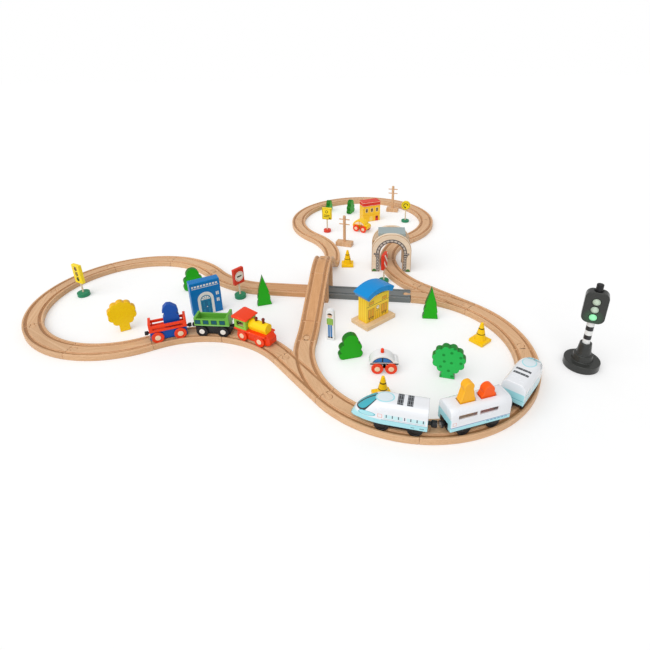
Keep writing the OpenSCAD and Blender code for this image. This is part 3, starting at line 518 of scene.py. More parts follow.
def dress(node, *look, **more):
    # a whole node, or the solids named, under the node's own name
    return softPiece("dressed." + node, node, *look, **more)


def quads(rows, columns, loop=True):
    # faces of a grid of points, each row closed round when loop is set
    r, c = np.meshgrid(np.arange(rows - 1), np.arange(columns if loop else columns - 1), indexing="ij")
    n = (c + 1) % columns
    row, after = r * columns, (r + 1) * columns
    return np.stack([row + c, row + n, after + n, after + c], -1).reshape(-1, 4)


def turned(profile, count=48):
    # a profile of (radius, height) carried round the axis: x = r cos t, y = r sin t, z = h
    p = np.asarray(profile, float)
    t = np.linspace(0, 2 * np.pi, count, endpoint=False)
    grid = np.stack([p[:, :1] * np.cos(t), p[:, :1] * np.sin(t), np.repeat(p[:, 1:], count, 1)], -1)
    return grid.reshape(-1, 3), quads(len(p), count)


def joined(parts):
    # several (points, faces, finish number) as one mesh
    points, faces, finish, base = [], [], [], 0
    for p, f, k in parts:
        p = np.asarray(p, float).reshape(-1, 3)
        points.append(p)
        faces.append(np.asarray(f) + base)
        finish.append(np.full(len(f), k))
        base += len(p)
    return np.concatenate(points), [tuple(f) for block in faces for f in block], np.concatenate(finish)


# camera as the photograph was taken, in millimetres
view = {"place": (161.2, -929.7, 534.0), "ahead": (-0.1615, 0.9869), "pitch": 0.44, "roll": -0.0288,
        "lens": 26.02, "sensor": 36.0, "shift": (0.0, -0.1023), "far": 50.0}
ahead = np.array([*view["ahead"], 0.0]) / np.hypot(*view["ahead"])
right = np.array([ahead[1], -ahead[0], 0.0])
up = np.array([0.0, 0.0, 1.0])
look = math.cos(view["pitch"]) * ahead - math.sin(view["pitch"]) * up
over = math.sin(view["pitch"]) * ahead + math.cos(view["pitch"]) * up
cr, sr = math.cos(view["roll"]), math.sin(view["roll"])
axes = np.stack([cr * right + sr * over, -sr * right + cr * over, -look], 1)
cameraData = bpy.data.cameras.new("photoCamera")
cameraData.sensor_width, cameraData.lens = view["sensor"], view["lens"]
cameraData.shift_x, cameraData.shift_y = view["shift"]
cameraData.clip_end = view["far"]
camera = bpy.data.objects.new("photoCamera", cameraData)
camera.matrix_world = Matrix([[*axes[k], view["place"][k] * mm] for k in range(3)] + [[0, 0, 0, 1]])
bpy.context.scene.collection.objects.link(camera)
bpy.context.scene.camera = camera
bpy.context.scene.view_settings.view_transform = "Standard"
print("camera set")

# a white table with soft light
studio = {"sky": 0.6, "lampPower": 1.65, "lampSpread": 70.0, "lampFrom": (-0.42, -0.75, 0.95),
          "tableGlow": 0.22, "tableShade": (0.8, 0.8, 0.8), "tableHalf": 6.0, "tableRows": 13,
          "tableDrop": 0.0003}
floorFinish = Finish("whiteTable")
path = floorFinish.node("ShaderNodeLightPath")
seen = path | Wire(floorFinish, path.socket.node.outputs["Is Glossy Ray"])
seen = seen | Wire(floorFinish, path.socket.node.outputs["Is Transmission Ray"])
paper = floorFinish.noise(floorFinish.place(), 0.02, 3.0, 0.5)
matte = floorFinish.node("ShaderNodeBsdfDiffuse", None, {
    "Color": floorFinish.scaled(studio["tableShade"], 0.985 + paper * 0.03)})
glow = floorFinish.node("ShaderNodeEmission", None, {
    "Color": (1.0, 1.0, 1.0), "Strength": seen * studio["tableGlow"]})
lit = floorFinish.node("ShaderNodeAddShader", None, {0: matte, 1: glow})
floorFinish.node("ShaderNodeOutputMaterial", None, {0: lit})
span = np.linspace(-studio["tableHalf"], studio["tableHalf"], studio["tableRows"])
gx, gy = np.meshgrid(span, span, indexing="ij")
sheet = np.stack([gx, gy, np.full_like(gx, -studio["tableDrop"])], -1)
floor = newPiece("table", sheet, quads(len(span), len(span), False)[:, ::-1], [floorFinish])
room = Finish("softRoom", bpy.data.worlds.new("softRoom"))
direct = room.node("ShaderNodeLightPath")
back = room.node("ShaderNodeBackground", None, {
    "Color": (1.0, 1.0, 1.0), "Strength": direct * (1.0 - studio["sky"]) + studio["sky"]})
room.node("ShaderNodeOutputWorld", None, {0: back})
bpy.context.scene.world = room.material
lampData = bpy.data.lights.new("softLamp", "SUN")
lampData.energy, lampData.angle = studio["lampPower"], math.radians(studio["lampSpread"])
lamp = bpy.data.objects.new("softLamp", lampData)
aim = np.array(studio["lampFrom"]) / np.linalg.norm(studio["lampFrom"])
side = np.cross([0, 1, 0], aim) / np.linalg.norm(np.cross([0, 1, 0], aim))
turn = np.stack([side, np.cross(aim, side), aim, 2 * aim], 1)
lamp.matrix_world = Matrix([*turn.tolist(), [0, 0, 0, 1]])
bpy.context.scene.collection.objects.link(lamp)
print("studio set")

# finishes of the wood and the paints
drySawn = {"rough": 0.5, "fleck": 0.25, "coat": 0.05}
beech = woodFinish("beech", tint(234, 194, 153), tint(202, 154, 110))
beechEdge = sandedFinish("beechEdge", tint(230, 188, 146), tint(192, 142, 98))
# a deeper wood: the near ramp's own darker tone, and painted shadow of the ramp on the wood straight beside it
deepWoodAndShadow = woodFinish("deepWoodAndShadow", tint(222, 171, 123), tint(192, 138, 90))
# a darker wood for the groove floors: painted shade in the grooves
grooveShadeWood = woodFinish("grooveShadeWood", tint(196, 148, 102), tint(160, 112, 70))
paleWood = woodFinish("paleWood", tint(240, 212, 172), tint(222, 184, 136), **drySawn)
paleEdge = sandedFinish("paleEdge", tint(238, 208, 168), tint(214, 172, 126))
boardEdge = sandedFinish("boardEdge", tint(206, 168, 128), tint(172, 130, 92))
tunnelWood = woodFinish("tunnelWood", tint(190, 152, 108), tint(150, 112, 72), **drySawn)
paints = {name: tint(*rgb) for name, rgb in {
    "red": (244, 62, 12), "yellow": (255, 212, 6), "cabGreen": (142, 196, 66), "green": (104, 176, 64),
    "blue": (0, 76, 168), "blockBlue": (0, 118, 190), "treeGreen": (26, 172, 2), "dotGreen": (38, 196, 86),
    "treeYellow": (255, 214, 0), "orange": (255, 96, 12), "cargoYellow": (252, 180, 34),
    "white": (240, 240, 240), "carYellow": (255, 206, 26), "stationYellow": (255, 216, 58),
    "roofBlue": (0, 140, 212), "marketYellow": (255, 202, 40), "marketRed": (226, 58, 40),
    "standGreen": (0, 132, 88), "coneYellow": (254, 204, 12), "signYellow": (255, 224, 36),
    "arrowYellow": (244, 216, 20), "signRed": (222, 56, 30), "knobRed": (120, 40, 26),
    "grey": (118, 123, 124), "roofGrey": (158, 172, 172),
}.items()}
# face and worn edges
painted = {name: [paintFinish(name + "Paint", paints[name]), wornFinish(name + "Worn", paints[name])]
           for name in ("red", "yellow", "blue", "orange", "cargoYellow", "roofBlue", "knobRed", "grey",
                        "roofGrey")}
blackPlastic = plasticFinish("blackPlastic", tint(26, 26, 28))
redPlastic = plasticFinish("redPlastic", tint(240, 64, 16), 0.28)
hubPale = plasticFinish("hubPale", tint(244, 214, 180), 0.36)
hubWhite = plasticFinish("hubWhite", tint(236, 232, 224), 0.36)
steel = steelFinish("steel")
signalDark = tint(54, 55, 53)
signalGrey = plasticFinish("signalGrey", signalDark, 0.18, 0.03)
print("finishes made:", len(bpy.data.materials))

# track
trackLook = {"edge": 0.9, "steps": 3, "shade": 0.06, "deeper": ("near_ramp", "wood_straight")}
for node in ("right_loop_curves", "left_loop_curves", "top_loop_curves", "lower_switch", "right_switch",
             "wood_straight", "near_ramp", "far_ramp", "bridge_piers"):
    # the near ramp takes the deeper wood as its own tone, the wood straight as painted shadow cast by the ramp
    board = deepWoodAndShadow if node in trackLook["deeper"] else beech
    # the third finish paints the groove floors darker, as shade
    dress(node, [board, beechEdge, grooveShadeWood], "beech", trackLook["edge"], trackLook["steps"],
          spread=trackLook["shade"])
dress("grey_straight", painted["grey"], "grey_track", trackLook["edge"], trackLook["steps"])
print("track dressed")

# wheels: tyre with a rolled rim, a dished face and a domed hub on a steel axle
wheelLook = {"sides": 56, "axleSides": 20, "rim": 1.5, "dish": 0.7, "hub": 0.46, "axle": 1.5, "sharp": 38.0}
trainWheel = {"radius": 11.5, "thick": 3.4, "apart": 13.0, "height": 20.8}
toyWheel = {"radius": 10.5, "thick": 3.6, "apart": 13.4, "height": 10.6}
toyBase = 24.0
axleEnds = (("_front_wheels", 0.5), ("_rear_wheels", -0.5))


def wheelset(node, spot, x, wheel, tyre, hub, slot):
    # profiles of (radius, height) turned round the axle, on either side of the car's middle line
    t, r, half = wheel["thick"] / 2, wheel["radius"], wheel["apart"]
    h, rim, dish, axle = r * wheelLook["hub"], wheelLook["rim"], wheelLook["dish"], wheelLook["axle"]
    tread = [(axle, -t), (r - 1.6, -t), (r - 0.5, 0.25 - t), (r, 0.75 - t), (r, t - 0.75),
             (r - 0.3, t - 0.25), (r - 0.7, t), (r - rim - 0.4, t), (r - rim - 0.9, t - 0.2),
             (r - rim - 1.3, t - dish), (h + 0.3, t - dish), (h, t - dish)]
    cap = [(h, t - dish), (h, t + 0.1), (h - 0.35, t + 0.4), (h - 0.9, t + 0.5), (1.7, t + 0.5),
           (1.6, t + 0.1), (1.2, t + 0.1), (1.2, t + 0.45), (0.8, t + 0.6), (0.0, t + 0.6)]
    shaft = [(0.0, -half), (axle, -half), (axle, half), (0.0, half)]
    parts = []
    for sign in (1, -1):
        for profile, k in ((tread, 0), (cap, 1)):
            points, faces = turned(profile, wheelLook["sides"])
            points = np.stack([points[:, 0], sign * (points[:, 2] + half), points[:, 1]], -1)
            parts.append((points, faces if sign < 0 else faces[:, ::-1], k))
    points, faces = turned(shaft, wheelLook["axleSides"])
    parts.append((points[:, [0, 2, 1]], faces[:, ::-1], 2))
    points, faces, number = joined(parts)
    place = seat(points + [x, 0, wheel["height"]], spot)
    piece = newPiece("turned." + node, place, faces, [tyre, hub, steel], number)
    closeMesh(piece)
    piece.data.set_sharp_from_angle(angle=math.radians(wheelLook["sharp"]))
    return attach(piece, node, slot)


for k, (car, tyre, hub, slot) in enumerate((
        ("engine", redPlastic, hubPale, "red_plastic"), ("green", blackPlastic, hubWhite, "black_plastic"),
        ("red", redPlastic, hubPale, "red_plastic"))):
    for end, s in axleEnds:
        wheelset(car + end, steamSpots[k], s * layout["steamBase"], trainWheel, tyre, hub, slot)
for k, car in enumerate(("loco", "car", "tail")):
    # every axle keeps the loop's direction, though the tail car stands turned about
    forward = (*expressSpots[k][:2], layout["locoAt"] + k * layout["expressStep"] - 90)
    for end, s in axleEnds:
        wheelset(car + end, forward, s * layout["expressBase"], trainWheel, blackPlastic, blackPlastic,
                 "black_plastic")
for car, key in (("white_car", "whiteCar"), ("yellow_car", "yellowCar")):
    for end, s in axleEnds:
        wheelset(car + end, spots[key], s * toyBase, toyWheel, redPlastic, hubPale, "red_plastic")
print("wheels turned")

# couplers: a stepped sleeve with a steel magnet face, along the car's own x
couplerLook = {"sides": 40, "sharp": 40.0, "play": 0.3}
couplerFrom = {"engine": -35.0, "wagon": 34.0, "power": -42.0, "car": 49.0}
deck = 33.3  # height of the steam train's running boards


def couplerKind(base, step, cap, height):
    # two cars on a loop meet halfway between them: the tip lies there, a cap's radius inside, less the play
    inside = loopR - base * base / 8 / loopR - cap
    tip = inside * math.tan(math.radians(step / 2)) - couplerLook["play"]
    return {"cap": cap, "height": height, "tip": tip}


def coupler(name, node, spot, x, kind):
    # profiles of (radius, length) turned round the car's x, outwards from x to the tip
    cap, length, s = kind["cap"], kind["tip"] - abs(x), math.copysign(1.0, x)
    sleeve = [(0.0, -0.4), (cap * 0.55, -0.4), (cap * 0.55, length * 0.3), (cap * 0.9, length * 0.36),
              (cap, length * 0.45), (cap, length - 0.9), (cap * 0.93, length - 0.35),
              (cap * 0.82, length - 0.2), (cap * 0.8, length - 0.5)]
    face = [(cap * 0.8, length - 0.6), (cap * 0.78, length - 0.05), (cap * 0.7, length), (cap * 0.16, length),
            (cap * 0.12, length - 0.4), (0.0, length - 0.4)]
    parts = []
    for profile, k in ((sleeve, 0), (face, 1)):
        points, faces = turned(profile, couplerLook["sides"])
        points = np.stack([x + s * points[:, 2], points[:, 0], kind["height"] + points[:, 1]], -1)
        parts.append((points, faces, k))
    points, faces, number = joined(parts)
    piece = newPiece("coupler." + name, seat(points, spot), faces, [blackPlastic, steel], number)
    closeMesh(piece)
    piece.data.set_sharp_from_angle(angle=math.radians(couplerLook["sharp"]))
    return attach(piece, node, "black_plastic")


steamCoupler = couplerKind(layout["steamBase"], layout["steamStep"], 4.0, deck - 5.5)
expressCoupler = couplerKind(layout["expressBase"], layout["expressStep"], 5.5, 26.0)
coupler("engine", "engine_chassis", steamSpots[0], couplerFrom["engine"], steamCoupler)
for k, node in ((1, "green_wagon_chassis"), (2, "red_wagon_chassis")):
    for s in (1, -1):
        coupler("%s.%d" % (node, s + 1), node, steamSpots[k], s * couplerFrom["wagon"], steamCoupler)
coupler("loco", "express_loco", expressSpots[0], couplerFrom["power"], expressCoupler)
coupler("tail", "express_tail", expressSpots[2], couplerFrom["power"], expressCoupler)
for s in (1, -1):
    coupler("car.%d" % (s + 1), "express_car", expressSpots[1], s * couplerFrom["car"], expressCoupler)
print("couplers made")

# steam train
steamLook = {
    "edge": 0.9, "cabHalf": 12.6, "cabInside": (-34.1, -9.2), "bare": tint(240, 214, 168),
    "boxSide": 13.3, "windows": (-27.4, -11.2, 5.2, 21.6), "windowUp": 8.6, "windowSize": (10.6, 8.4),
    "lipUp": (1.0, 2.4), "window": tint(0, 86, 100), "windowLine": tint(14, 54, 34),
    "lip": tint(150, 205, 130),
}


def cabFinish(spot, look):
    # green outside, bare pale wood inside and in the window openings
    f = Finish("cabPaint")
    body, rough, height = paintBase(f, paints["cabGreen"])
    x, y, z = f.split(f.place(spot))
    inside = abs(y).below(look["cabHalf"], 0.1) & x.within(*look["cabInside"], 0.1)
    return f.close(f.mix(inside, body, look["bare"]), rough + inside * 0.15, height, paintDepth, lacquer)


def drawWindows(x, y, z):
    # four square windows and a pale line along each side
    for cx in steamLook["windows"]:
        pane = (x, z, cx, deck + steamLook["windowUp"], *steamLook["windowSize"])
        yield plate(*pane), steamLook["window"]
        yield outline(*pane, 1.0), steamLook["windowLine"]
    low, high = steamLook["lipUp"]
    yield z.within(deck + low, deck + high), steamLook["lip"]


boiler = solidsOf("engine_boiler")
greenBox = printFinish("greenBox", steamSpots[1], paints["green"], steamLook["boxSide"], drawWindows, 0.06)
dress("engine_chassis", painted["red"], "red_paint", steamLook["edge"], 3, solidsOf("engine_chassis")[:1])
dress("engine_boiler", painted["yellow"], "yellow_paint", steamLook["edge"], 3, boiler[:1])
softPiece("dressed.engine_knobs", "engine_boiler", painted["knobRed"], "red_paint", 0.4, solids=boiler[1:])
dress("engine_cab", [cabFinish(steamSpots[0], steamLook)], "green_paint")
dress("engine_roof", painted["red"], "red_paint", 1.2, 3)
dress("green_wagon_chassis", [blackPlastic], "black_plastic", solids=solidsOf("green_wagon_chassis")[:1])
dress("red_wagon_chassis", painted["blue"], "blue_paint", solids=solidsOf("red_wagon_chassis")[:1])
dress("red_wagon_tray", painted["red"], "red_paint", 0.8, 3)
dress("blue_cargo", painted["blue"], "blue_paint", 1.0, 3)
dress("green_wagon_box", [greenBox], "green_paint", 0.8, 3)
print("steam train dressed")

# express train: a hollow shell lofted along the car, from the plan and the side view of the solids
expressLook = {
    "low": 25.0, "top": 62.0, "half": 18.0, "back": -42.0, "flat": 18.0, "sideArc": 56.667, "planArc": 127.5,
    "corner": 10.0, "cornerGrowth": 0.12, "noseFrom": 62.0, "noseRound": 0.45,
    "well": 15.8, "wellTop": 34.8, "wellEnd": 37.6, "wall": 2.0, "beam": (-41.5, 20.0),
    "edge": 1.2, "sharp": 50.0, "gloss": {"Coat Weight": 0.4, "Coat Roughness": 0.08},
    "white": tint(238, 240, 244), "aqua": tint(168, 226, 234), "teal": tint(58, 172, 188),
    "ink": tint(24, 26, 30), "blue": tint(40, 90, 170), "patch": tint(222, 234, 240),
    "grille": tint(40, 42, 46), "bar": tint(150, 156, 162), "rose": tint(236, 170, 160),
    "pane": tint(200, 236, 240), "post": tint(60, 80, 96), "sill": tint(110, 140, 160),
    "mark": tint(60, 90, 110),
}


def powerShell(look, side=10, bend=9, top=8, along=14, noseRows=44):
    # at each x the section goes up one side, round the shoulder, over the roof, down again,
    # and back along the inside
    low, flatEnd, wellEnd = look["low"], look["flat"], look["wellEnd"]
    nose = flatEnd + math.sqrt(look["sideArc"] ** 2 - (look["sideArc"] + low - look["top"]) ** 2)
    t = np.linspace(0, 1, noseRows)
    x = np.concatenate([[look["back"], look["back"] + 4, -wellEnd, -wellEnd + 0.3],
                        np.linspace(-36, flatEnd, along),
                        flatEnd + (nose - 0.15 - flatEnd) * np.sin(t[1:] * np.pi / 2)])
    x = np.sort(np.concatenate([x, [wellEnd - 0.3, wellEnd]]))
    out = np.clip(x - flatEnd, 0, None)
    roof = look["top"] - look["sideArc"] + np.sqrt(look["sideArc"] ** 2 - out ** 2)
    half = look["half"] - look["planArc"] + np.sqrt(look["planArc"] ** 2 - out ** 2)
    tip = np.clip((x - look["noseFrom"]) / (nose - look["noseFrom"]), 0, 1)
    half = half * (1 - look["noseRound"] * tip ** 3)  # the nose rounds off in plan
    corner = np.minimum(look["corner"] + look["cornerGrowth"] * out, 0.92 * np.minimum(half, roof - low))
    inner = np.minimum(look["well"], half - look["wall"])
    ceiling = np.where(np.abs(x) < wellEnd - 0.1, np.minimum(look["wellTop"], roof - look["wall"]), low + 0.4)
    ceiling = np.minimum(ceiling, low + 0.6 * (roof - low))
    rise = np.linspace(0, 1, side, endpoint=False)
    turn = np.linspace(0, np.pi / 2, bend)
    flat = np.linspace(-1, 1, top)[1:-1]
    halfs, roofs, corners = half[:, None], roof[:, None], corner[:, None]
    wallY, wallZ = -np.repeat(halfs, side, 1), low + rise * (roofs - corners - low)
    arcY = -halfs + corners * (1 - np.cos(turn))
    arcZ = roofs - corners + corners * np.sin(turn)
    topY, topZ = flat * (halfs - corners), np.repeat(roofs, top - 2, 1)
    foot = np.full_like(x, low)
    inY = np.stack([inner, inner, -inner, -inner], 1)
    inZ = np.stack([foot, ceiling, ceiling, foot], 1)
    y = np.concatenate([wallY, arcY, topY, -arcY[:, ::-1], -wallY[:, ::-1], inY], 1)
    z = np.concatenate([wallZ, arcZ, topZ, arcZ[:, ::-1], wallZ[:, ::-1], inZ], 1)
    n = y.shape[1]
    grid = np.stack([np.repeat(x[:, None], n, 1), y, z], -1)
    faces = [tuple(f) for f in quads(len(x), n)]
    return grid.reshape(-1, 3), faces + [tuple(range(n)), tuple(range((len(x) - 1) * n, len(x) * n))[::-1]]


def expressBase(f, look, spot):
    # glossy white plastic in the car's own coordinates, with faint haze and moulding texture
    x, y, z = f.split(f.place(spot))
    haze = f.noise(f.place(), 0.04, 3.0, 0.6)
    mould = f.noise(f.place(), 2.4, 2.0, 0.6)
    return x, y, z, f.scaled(look["white"], 0.965 + haze * 0.05), 0.2 + haze * 0.12, mould


def powerFinish(name, spot, look, grilleX, grilleWide):
    # a power car's prints, in millimetres from the middle of the car
    f = Finish(name)
    x, y, z, color, rough, mould = expressBase(f, look, spot)
    # lower band, rising towards the nose, and the end panel
    color = f.mix(z.below(34.0, 0.6) | (x.above(52.0, 6.0) & z.below(36.5, 5.0)), color, look["aqua"])
    color = f.mix(x.below(-41.4, 0.2) & z.below(46.0, 0.4), color, look["aqua"])
    color = f.mix(z.within(34.0, 34.7) & x.below(24.0), color, look["teal"])
    # windscreen: a long shield over the nose with a dark rim and a wiper
    shield = ovalFrom(x, y, 47.0, 0.0, 14.5, 12.5)
    color = f.draw(color, z.above(40.5, 1.0), (
        (shield.below(1.12, 0.03), look["ink"]), (shield.below(1.0, 0.03), look["teal"]),
        (shield.below(1.0, 0.03) & (y - x * 0.2 + 9.0).within(-2.2, 0.4, 0.8), look["ink"])))
    # roof patch in its ring, and two roof grilles with pale bars
    oval = ovalFrom(x, y, 21.0, 0.0, 14.0, 11.0)
    color = f.draw(color, z.above(52.0, 1.0), (
        (oval.below(1.0, 0.03), look["aqua"]), (oval.below(0.84, 0.03), look["patch"])))
    for cx in grilleX:
        grille = plate(x, y, cx, 0.0, grilleWide, 23.0) & z.above(60.0, 0.5)
        bars = (x - cx).wrap(3.0).below(0.28, 0.1) | (y - 1.0).wrap(7.6).below(0.35, 0.1)
        color = f.mix(grille, color, look["grille"])
        color = f.mix(grille & bars, color, look["bar"])
    # side prints: a row of windows over a sill line, the fin on the flank, a door mark and two rows of dashes
    wall = abs(y).above(15.2, 0.4) & z.below(53.0)
    row = x.within(-38.5, 19.5) & z.within(37.6, 44.6)
    posts = (x + 9.6).wrap(8.7)
    color = f.draw(color, wall, (
        (row & posts.above(0.55, 0.2) & (1 - x.within(-12.4, -6.9)), look["pane"]),
        (row & posts.below(0.75, 0.2) & z.above(39.0), look["post"]),
        (x.within(-39.0, 21.0) & z.within(36.2, 36.7), look["sill"])))
    fin = ovalFrom(x, z + (x - 46.0) * 0.1, 46.0, 39.0, 13.5, 4.2)
    color = f.draw(color, abs(y).above(11.0, 0.5) & z.below(46.0), (
        (fin.below(1.0, 0.05), look["teal"]), (fin.below(0.86, 0.05), look["aqua"])))
    dashes = [(plate(x, z, cx, 29.0, wide, 1.6) & (x - cx).wrap(1.6).above(0.25, 0.1), look["mark"])
              for cx, wide in ((-21.0, 5.0), (-34.0, 7.0))]
    color = f.draw(color, wall, [(outline(x, z, 26.0, 40.8, 6.0, 6.0), look["rose"]), *dashes])
    return f.close(color, rough, mould, 0.012, look["gloss"])


def blockOf(x0, x1, y0, y1, z0, z1):
    # the eight corners of a block and its six sides
    g = np.array([[x, y, z] for x in (x0, x1) for y in (y0, y1) for z in (z0, z1)], float)
    return g, np.array([(0, 1, 3, 2), (4, 6, 7, 5), (0, 4, 5, 1), (2, 3, 7, 6), (0, 2, 6, 4), (1, 5, 7, 3)])


frameShape = {"spine": (-34, 34, -10.4, 10.4, 14.6, 34.4), "beam": (-10.2, 10.2, 20.6, 34.2),
              "box": (-10.9, 10.9, 15.6, 26.0), "boxHalf": 5, "edge": 0.8}


def underframe(node, spot, x0, x1, shape):
    # the bogie frame: a spine between the wheels, the beam to the couplers and the axle boxes
    parts = [(*blockOf(*shape["spine"]), 0), (*blockOf(x0, x1, *shape["beam"]), 0)]
    for axle in (-layout["expressBase"] / 2, layout["expressBase"] / 2):
        parts.append((*blockOf(axle - shape["boxHalf"], axle + shape["boxHalf"], *shape["box"]), 0))
    points, faces, number = joined(parts)
    piece = newPiece("underframe." + node, seat(points, spot), faces, [blackPlastic], number)
    softEdges(piece, shape["edge"])
    return attach(piece, node, "black_plastic")


for node, k, grilleX, grilleWide in (
        ("express_loco", 0, (-1.5, -15.5), 8.6), ("express_tail", 2, (-4.0, -15.0), 5.0)):
    points, faces = powerShell(expressLook)
    powerPrint = powerFinish("expressPrint%d" % k, expressSpots[k], expressLook, grilleX, grilleWide)
    shell = newPiece("shell." + node, seat(points, expressSpots[k]), faces, [powerPrint])
    closeMesh(shell)
    softEdges(shell, expressLook["edge"], 3, expressLook["sharp"])
    attach(shell, node, "express_white")
    underframe(node, expressSpots[k], *expressLook["beam"], frameShape)

carShape = {"half": 49.0, "slots": ((-30.0, -4.0), (4.0, 30.0)), "slotHalf": 7.0,
            "panes": ((-27.0, 3.0), (7.0, 37.0)), "paneZ": (44.8, 52.0), "skirt": 31.4,
            "floor": 36.8, "floorUnder": 34.6, "floorHalf": (46.0, 15.3), "skin": 2.5, "beam": 48.5,
            "endRound": (0.35, 1.2), "endRows": (0.02, 0.3, 0.6, 0.85, 1.0), "edge": 0.5, "floorEdge": 0.4}


def carFinish(spot, look, shape):
    # middle car: aqua skirt and end panels, a fine blue line with dashes under it
    f = Finish("expressPrint1")
    x, y, z, color, rough, mould = expressBase(f, look, spot)
    color = f.mix(z.below(shape["skirt"], 0.5), color, look["aqua"])
    color = f.mix(abs(x).above(48.4, 0.2) & z.below(46.0, 0.5), color, look["aqua"])
    color = f.draw(color, abs(y).above(16.5, 0.4), (
        (z.within(31.6, 32.5), look["blue"]),
        (z.within(29.2, 30.2) & x.within(-44.0, -8.0) & (x + 8.0).wrap(6.0).above(0.7, 0.2), look["blue"]),
        (outline(x, z, 43.0, 38.0, 5.0, 5.0, 0.7), look["rose"])))
    color = f.mix(abs(y).below(10.8, 0.1) & z.below(34.8, 0.1), color, look["ink"])
    return f.close(color, rough, mould, 0.012, look["gloss"])


def between(values, ranges):
    # true where a value lies inside one of the ranges
    return np.any([(values > a) & (values < b) for a, b in ranges], 0)


def carShell(shape, look):
    # a skin with open slots and windows: the section goes up one wall, round the shoulder, over the roof
    # and down; the last rows at both ends shrink it towards the foot of the end wall and so close it
    low, top, half, corner = look["low"], look["top"], look["half"], look["corner"]
    turn = np.radians(np.linspace(0, 90, 9))
    wall = [[-half, z] for z in (low, shape["skirt"], shape["floor"], shape["paneZ"][0])]
    shoulder = np.stack([corner * (1 - np.cos(turn)) - half, top - corner + corner * np.sin(turn)], -1)
    left = np.concatenate([wall, shoulder, [[-shape["slotHalf"], top]]])
    section = np.concatenate([left, [[0.0, top]], left[::-1] * [-1, 1]])
    bevel, rim = shape["endRound"]
    inset = [(shape["half"], (1 - rim / half) * share) for share in shape["endRows"]]
    inset += [(shape["half"] - bevel, 1 - bevel / half), (shape["half"] - rim, 1.0)]
    cuts = sorted({x for pair in shape["slots"] + shape["panes"] for x in pair})
    rows = [(-x, k) for x, k in inset] + [(x, 1.0) for x in cuts] + inset[::-1]
    grid = np.array([[(x, k * y, low + k * (z - low)) for y, z in section] for x, k in rows]).reshape(-1, 3)
    faces = quads(len(rows), len(section), False)
    x, y, z = grid[faces].mean(1).T
    inSlot = between(x, shape["slots"]) & (np.abs(y) < shape["slotHalf"]) & (z > top - 0.1)
    inPane = between(x, shape["panes"]) & (np.abs(y) > half - 0.1) & between(z, [shape["paneZ"]])
    return grid, faces[~(inSlot | inPane)]


carPrint = carFinish(expressSpots[1], expressLook, carShape)
points, faces = carShell(carShape, expressLook)
shell = newPiece("shell.express_car", seat(points, expressSpots[1]), faces, [carPrint])
closeMesh(shell)
skin = shell.modifiers.new("skin", "SOLIDIFY")
skin.thickness, skin.offset = carShape["skin"] * mm, -1.0
softEdges(shell, carShape["edge"], 2, expressLook["sharp"])
attach(shell, "express_car", "express_white")
floorX, floorY = carShape["floorHalf"]
points, faces = blockOf(-floorX, floorX, -floorY, floorY, carShape["floorUnder"], carShape["floor"])
floorBoard = newPiece("floor.express_car", seat(points, expressSpots[1]), faces, [carPrint])
attach(softEdges(floorBoard, carShape["floorEdge"]), "express_car", "express_white")
underframe("express_car", expressSpots[1], -carShape["beam"], carShape["beam"], frameShape)
dress("yellow_cargo", painted["cargoYellow"], "cargo_yellow", 1.2, 3)
dress("orange_cargo", painted["orange"], "cargo_orange", 1.2, 3)
print("express train dressed")

# small cars, printed on both sides
carLook = {"side": 10.7, "bow": (-3.0, 12.0), "line": (17.4, 20.2), "lineHalf": 24.5,
           "glass": tint(46, 116, 186), "ink": tint(26, 26, 30), "amber": tint(236, 150, 20),
           "cream": tint(250, 232, 190)}


def carMarks(glass, stripe):
    def marks(x, y, z):
        # a bowed window with a post in its frame, a line under it and a door
        bow = reachFrom(x, z, *carLook["bow"])
        yield bow.below(20.5, 0.3) & z.above(21.6, 0.3), stripe
        post = abs(x - carLook["bow"][0]).below(1.1, 0.2)
        yield bow.below(19.5, 0.3) & z.above(22.5, 0.3) & (1 - post), glass
        yield z.within(*carLook["line"]) & abs(x).below(carLook["lineHalf"]), stripe
        yield outline(x, z, 1.0, 15.0, 15.0, 10.0, 0.6) & z.below(20.0), carLook["ink"]
    return marks


whiteCar = solidsOf("white_car")
whitePrint = printFinish("whiteCarPrint", spots["whiteCar"], paints["white"], carLook["side"],
                         carMarks(carLook["glass"], carLook["ink"]), 0.04)
yellowPrint = printFinish("yellowCarPrint", spots["yellowCar"], paints["carYellow"], carLook["side"],
                          carMarks(carLook["cream"], carLook["amber"]), 0.04)
dress("white_car", [whitePrint], "white_paint", 1.2, 3, whiteCar[:1])
softPiece("dressed.white_car_beacon", "white_car", painted["red"], "red_paint", 0.3, solids=whiteCar[1:])
dress("yellow_car", [yellowPrint], "car_yellow", 1.2, 3)
print("small cars dressed")

# buildings: what is printed on them, in millimetres from the middle of the foot
houseLook = {"ink": tint(74, 52, 22), "amber": tint(238, 168, 34), "dark": tint(58, 50, 44),
             "cream": tint(250, 238, 214), "pale": tint(236, 236, 230), "night": tint(0, 70, 120),
             "straw": tint(252, 200, 40), "bar": tint(226, 170, 60), "arch": tint(255, 222, 120),
             "door": tint(26, 128, 168)}
stationLook = {"wall": 11.75, "end": 31.6, "bay": 18.5, "leaf": 4.6, "shutter": (28.0, 6.6, 20.0),
               "dial": 36.5, "benches": ((15.6, 1.2), (18.0, 0.7), (19.6, 1.0)), "benchWide": 13.0,
               "board": 52.0}
marketLook = {"wall": 14.75, "windows": (-17.0, 0.5, 18.0), "windowZ": 37.5, "door": 17.5, "arch": -2.0,
              "band": 50.5}
blockLook = {"wall": 9.75, "door": -2.0, "panels": ((26.0, 12.0), (10.0, 13.0)), "sideWindow": 24.0,
             "windowZ": (30.0, 46.0)}


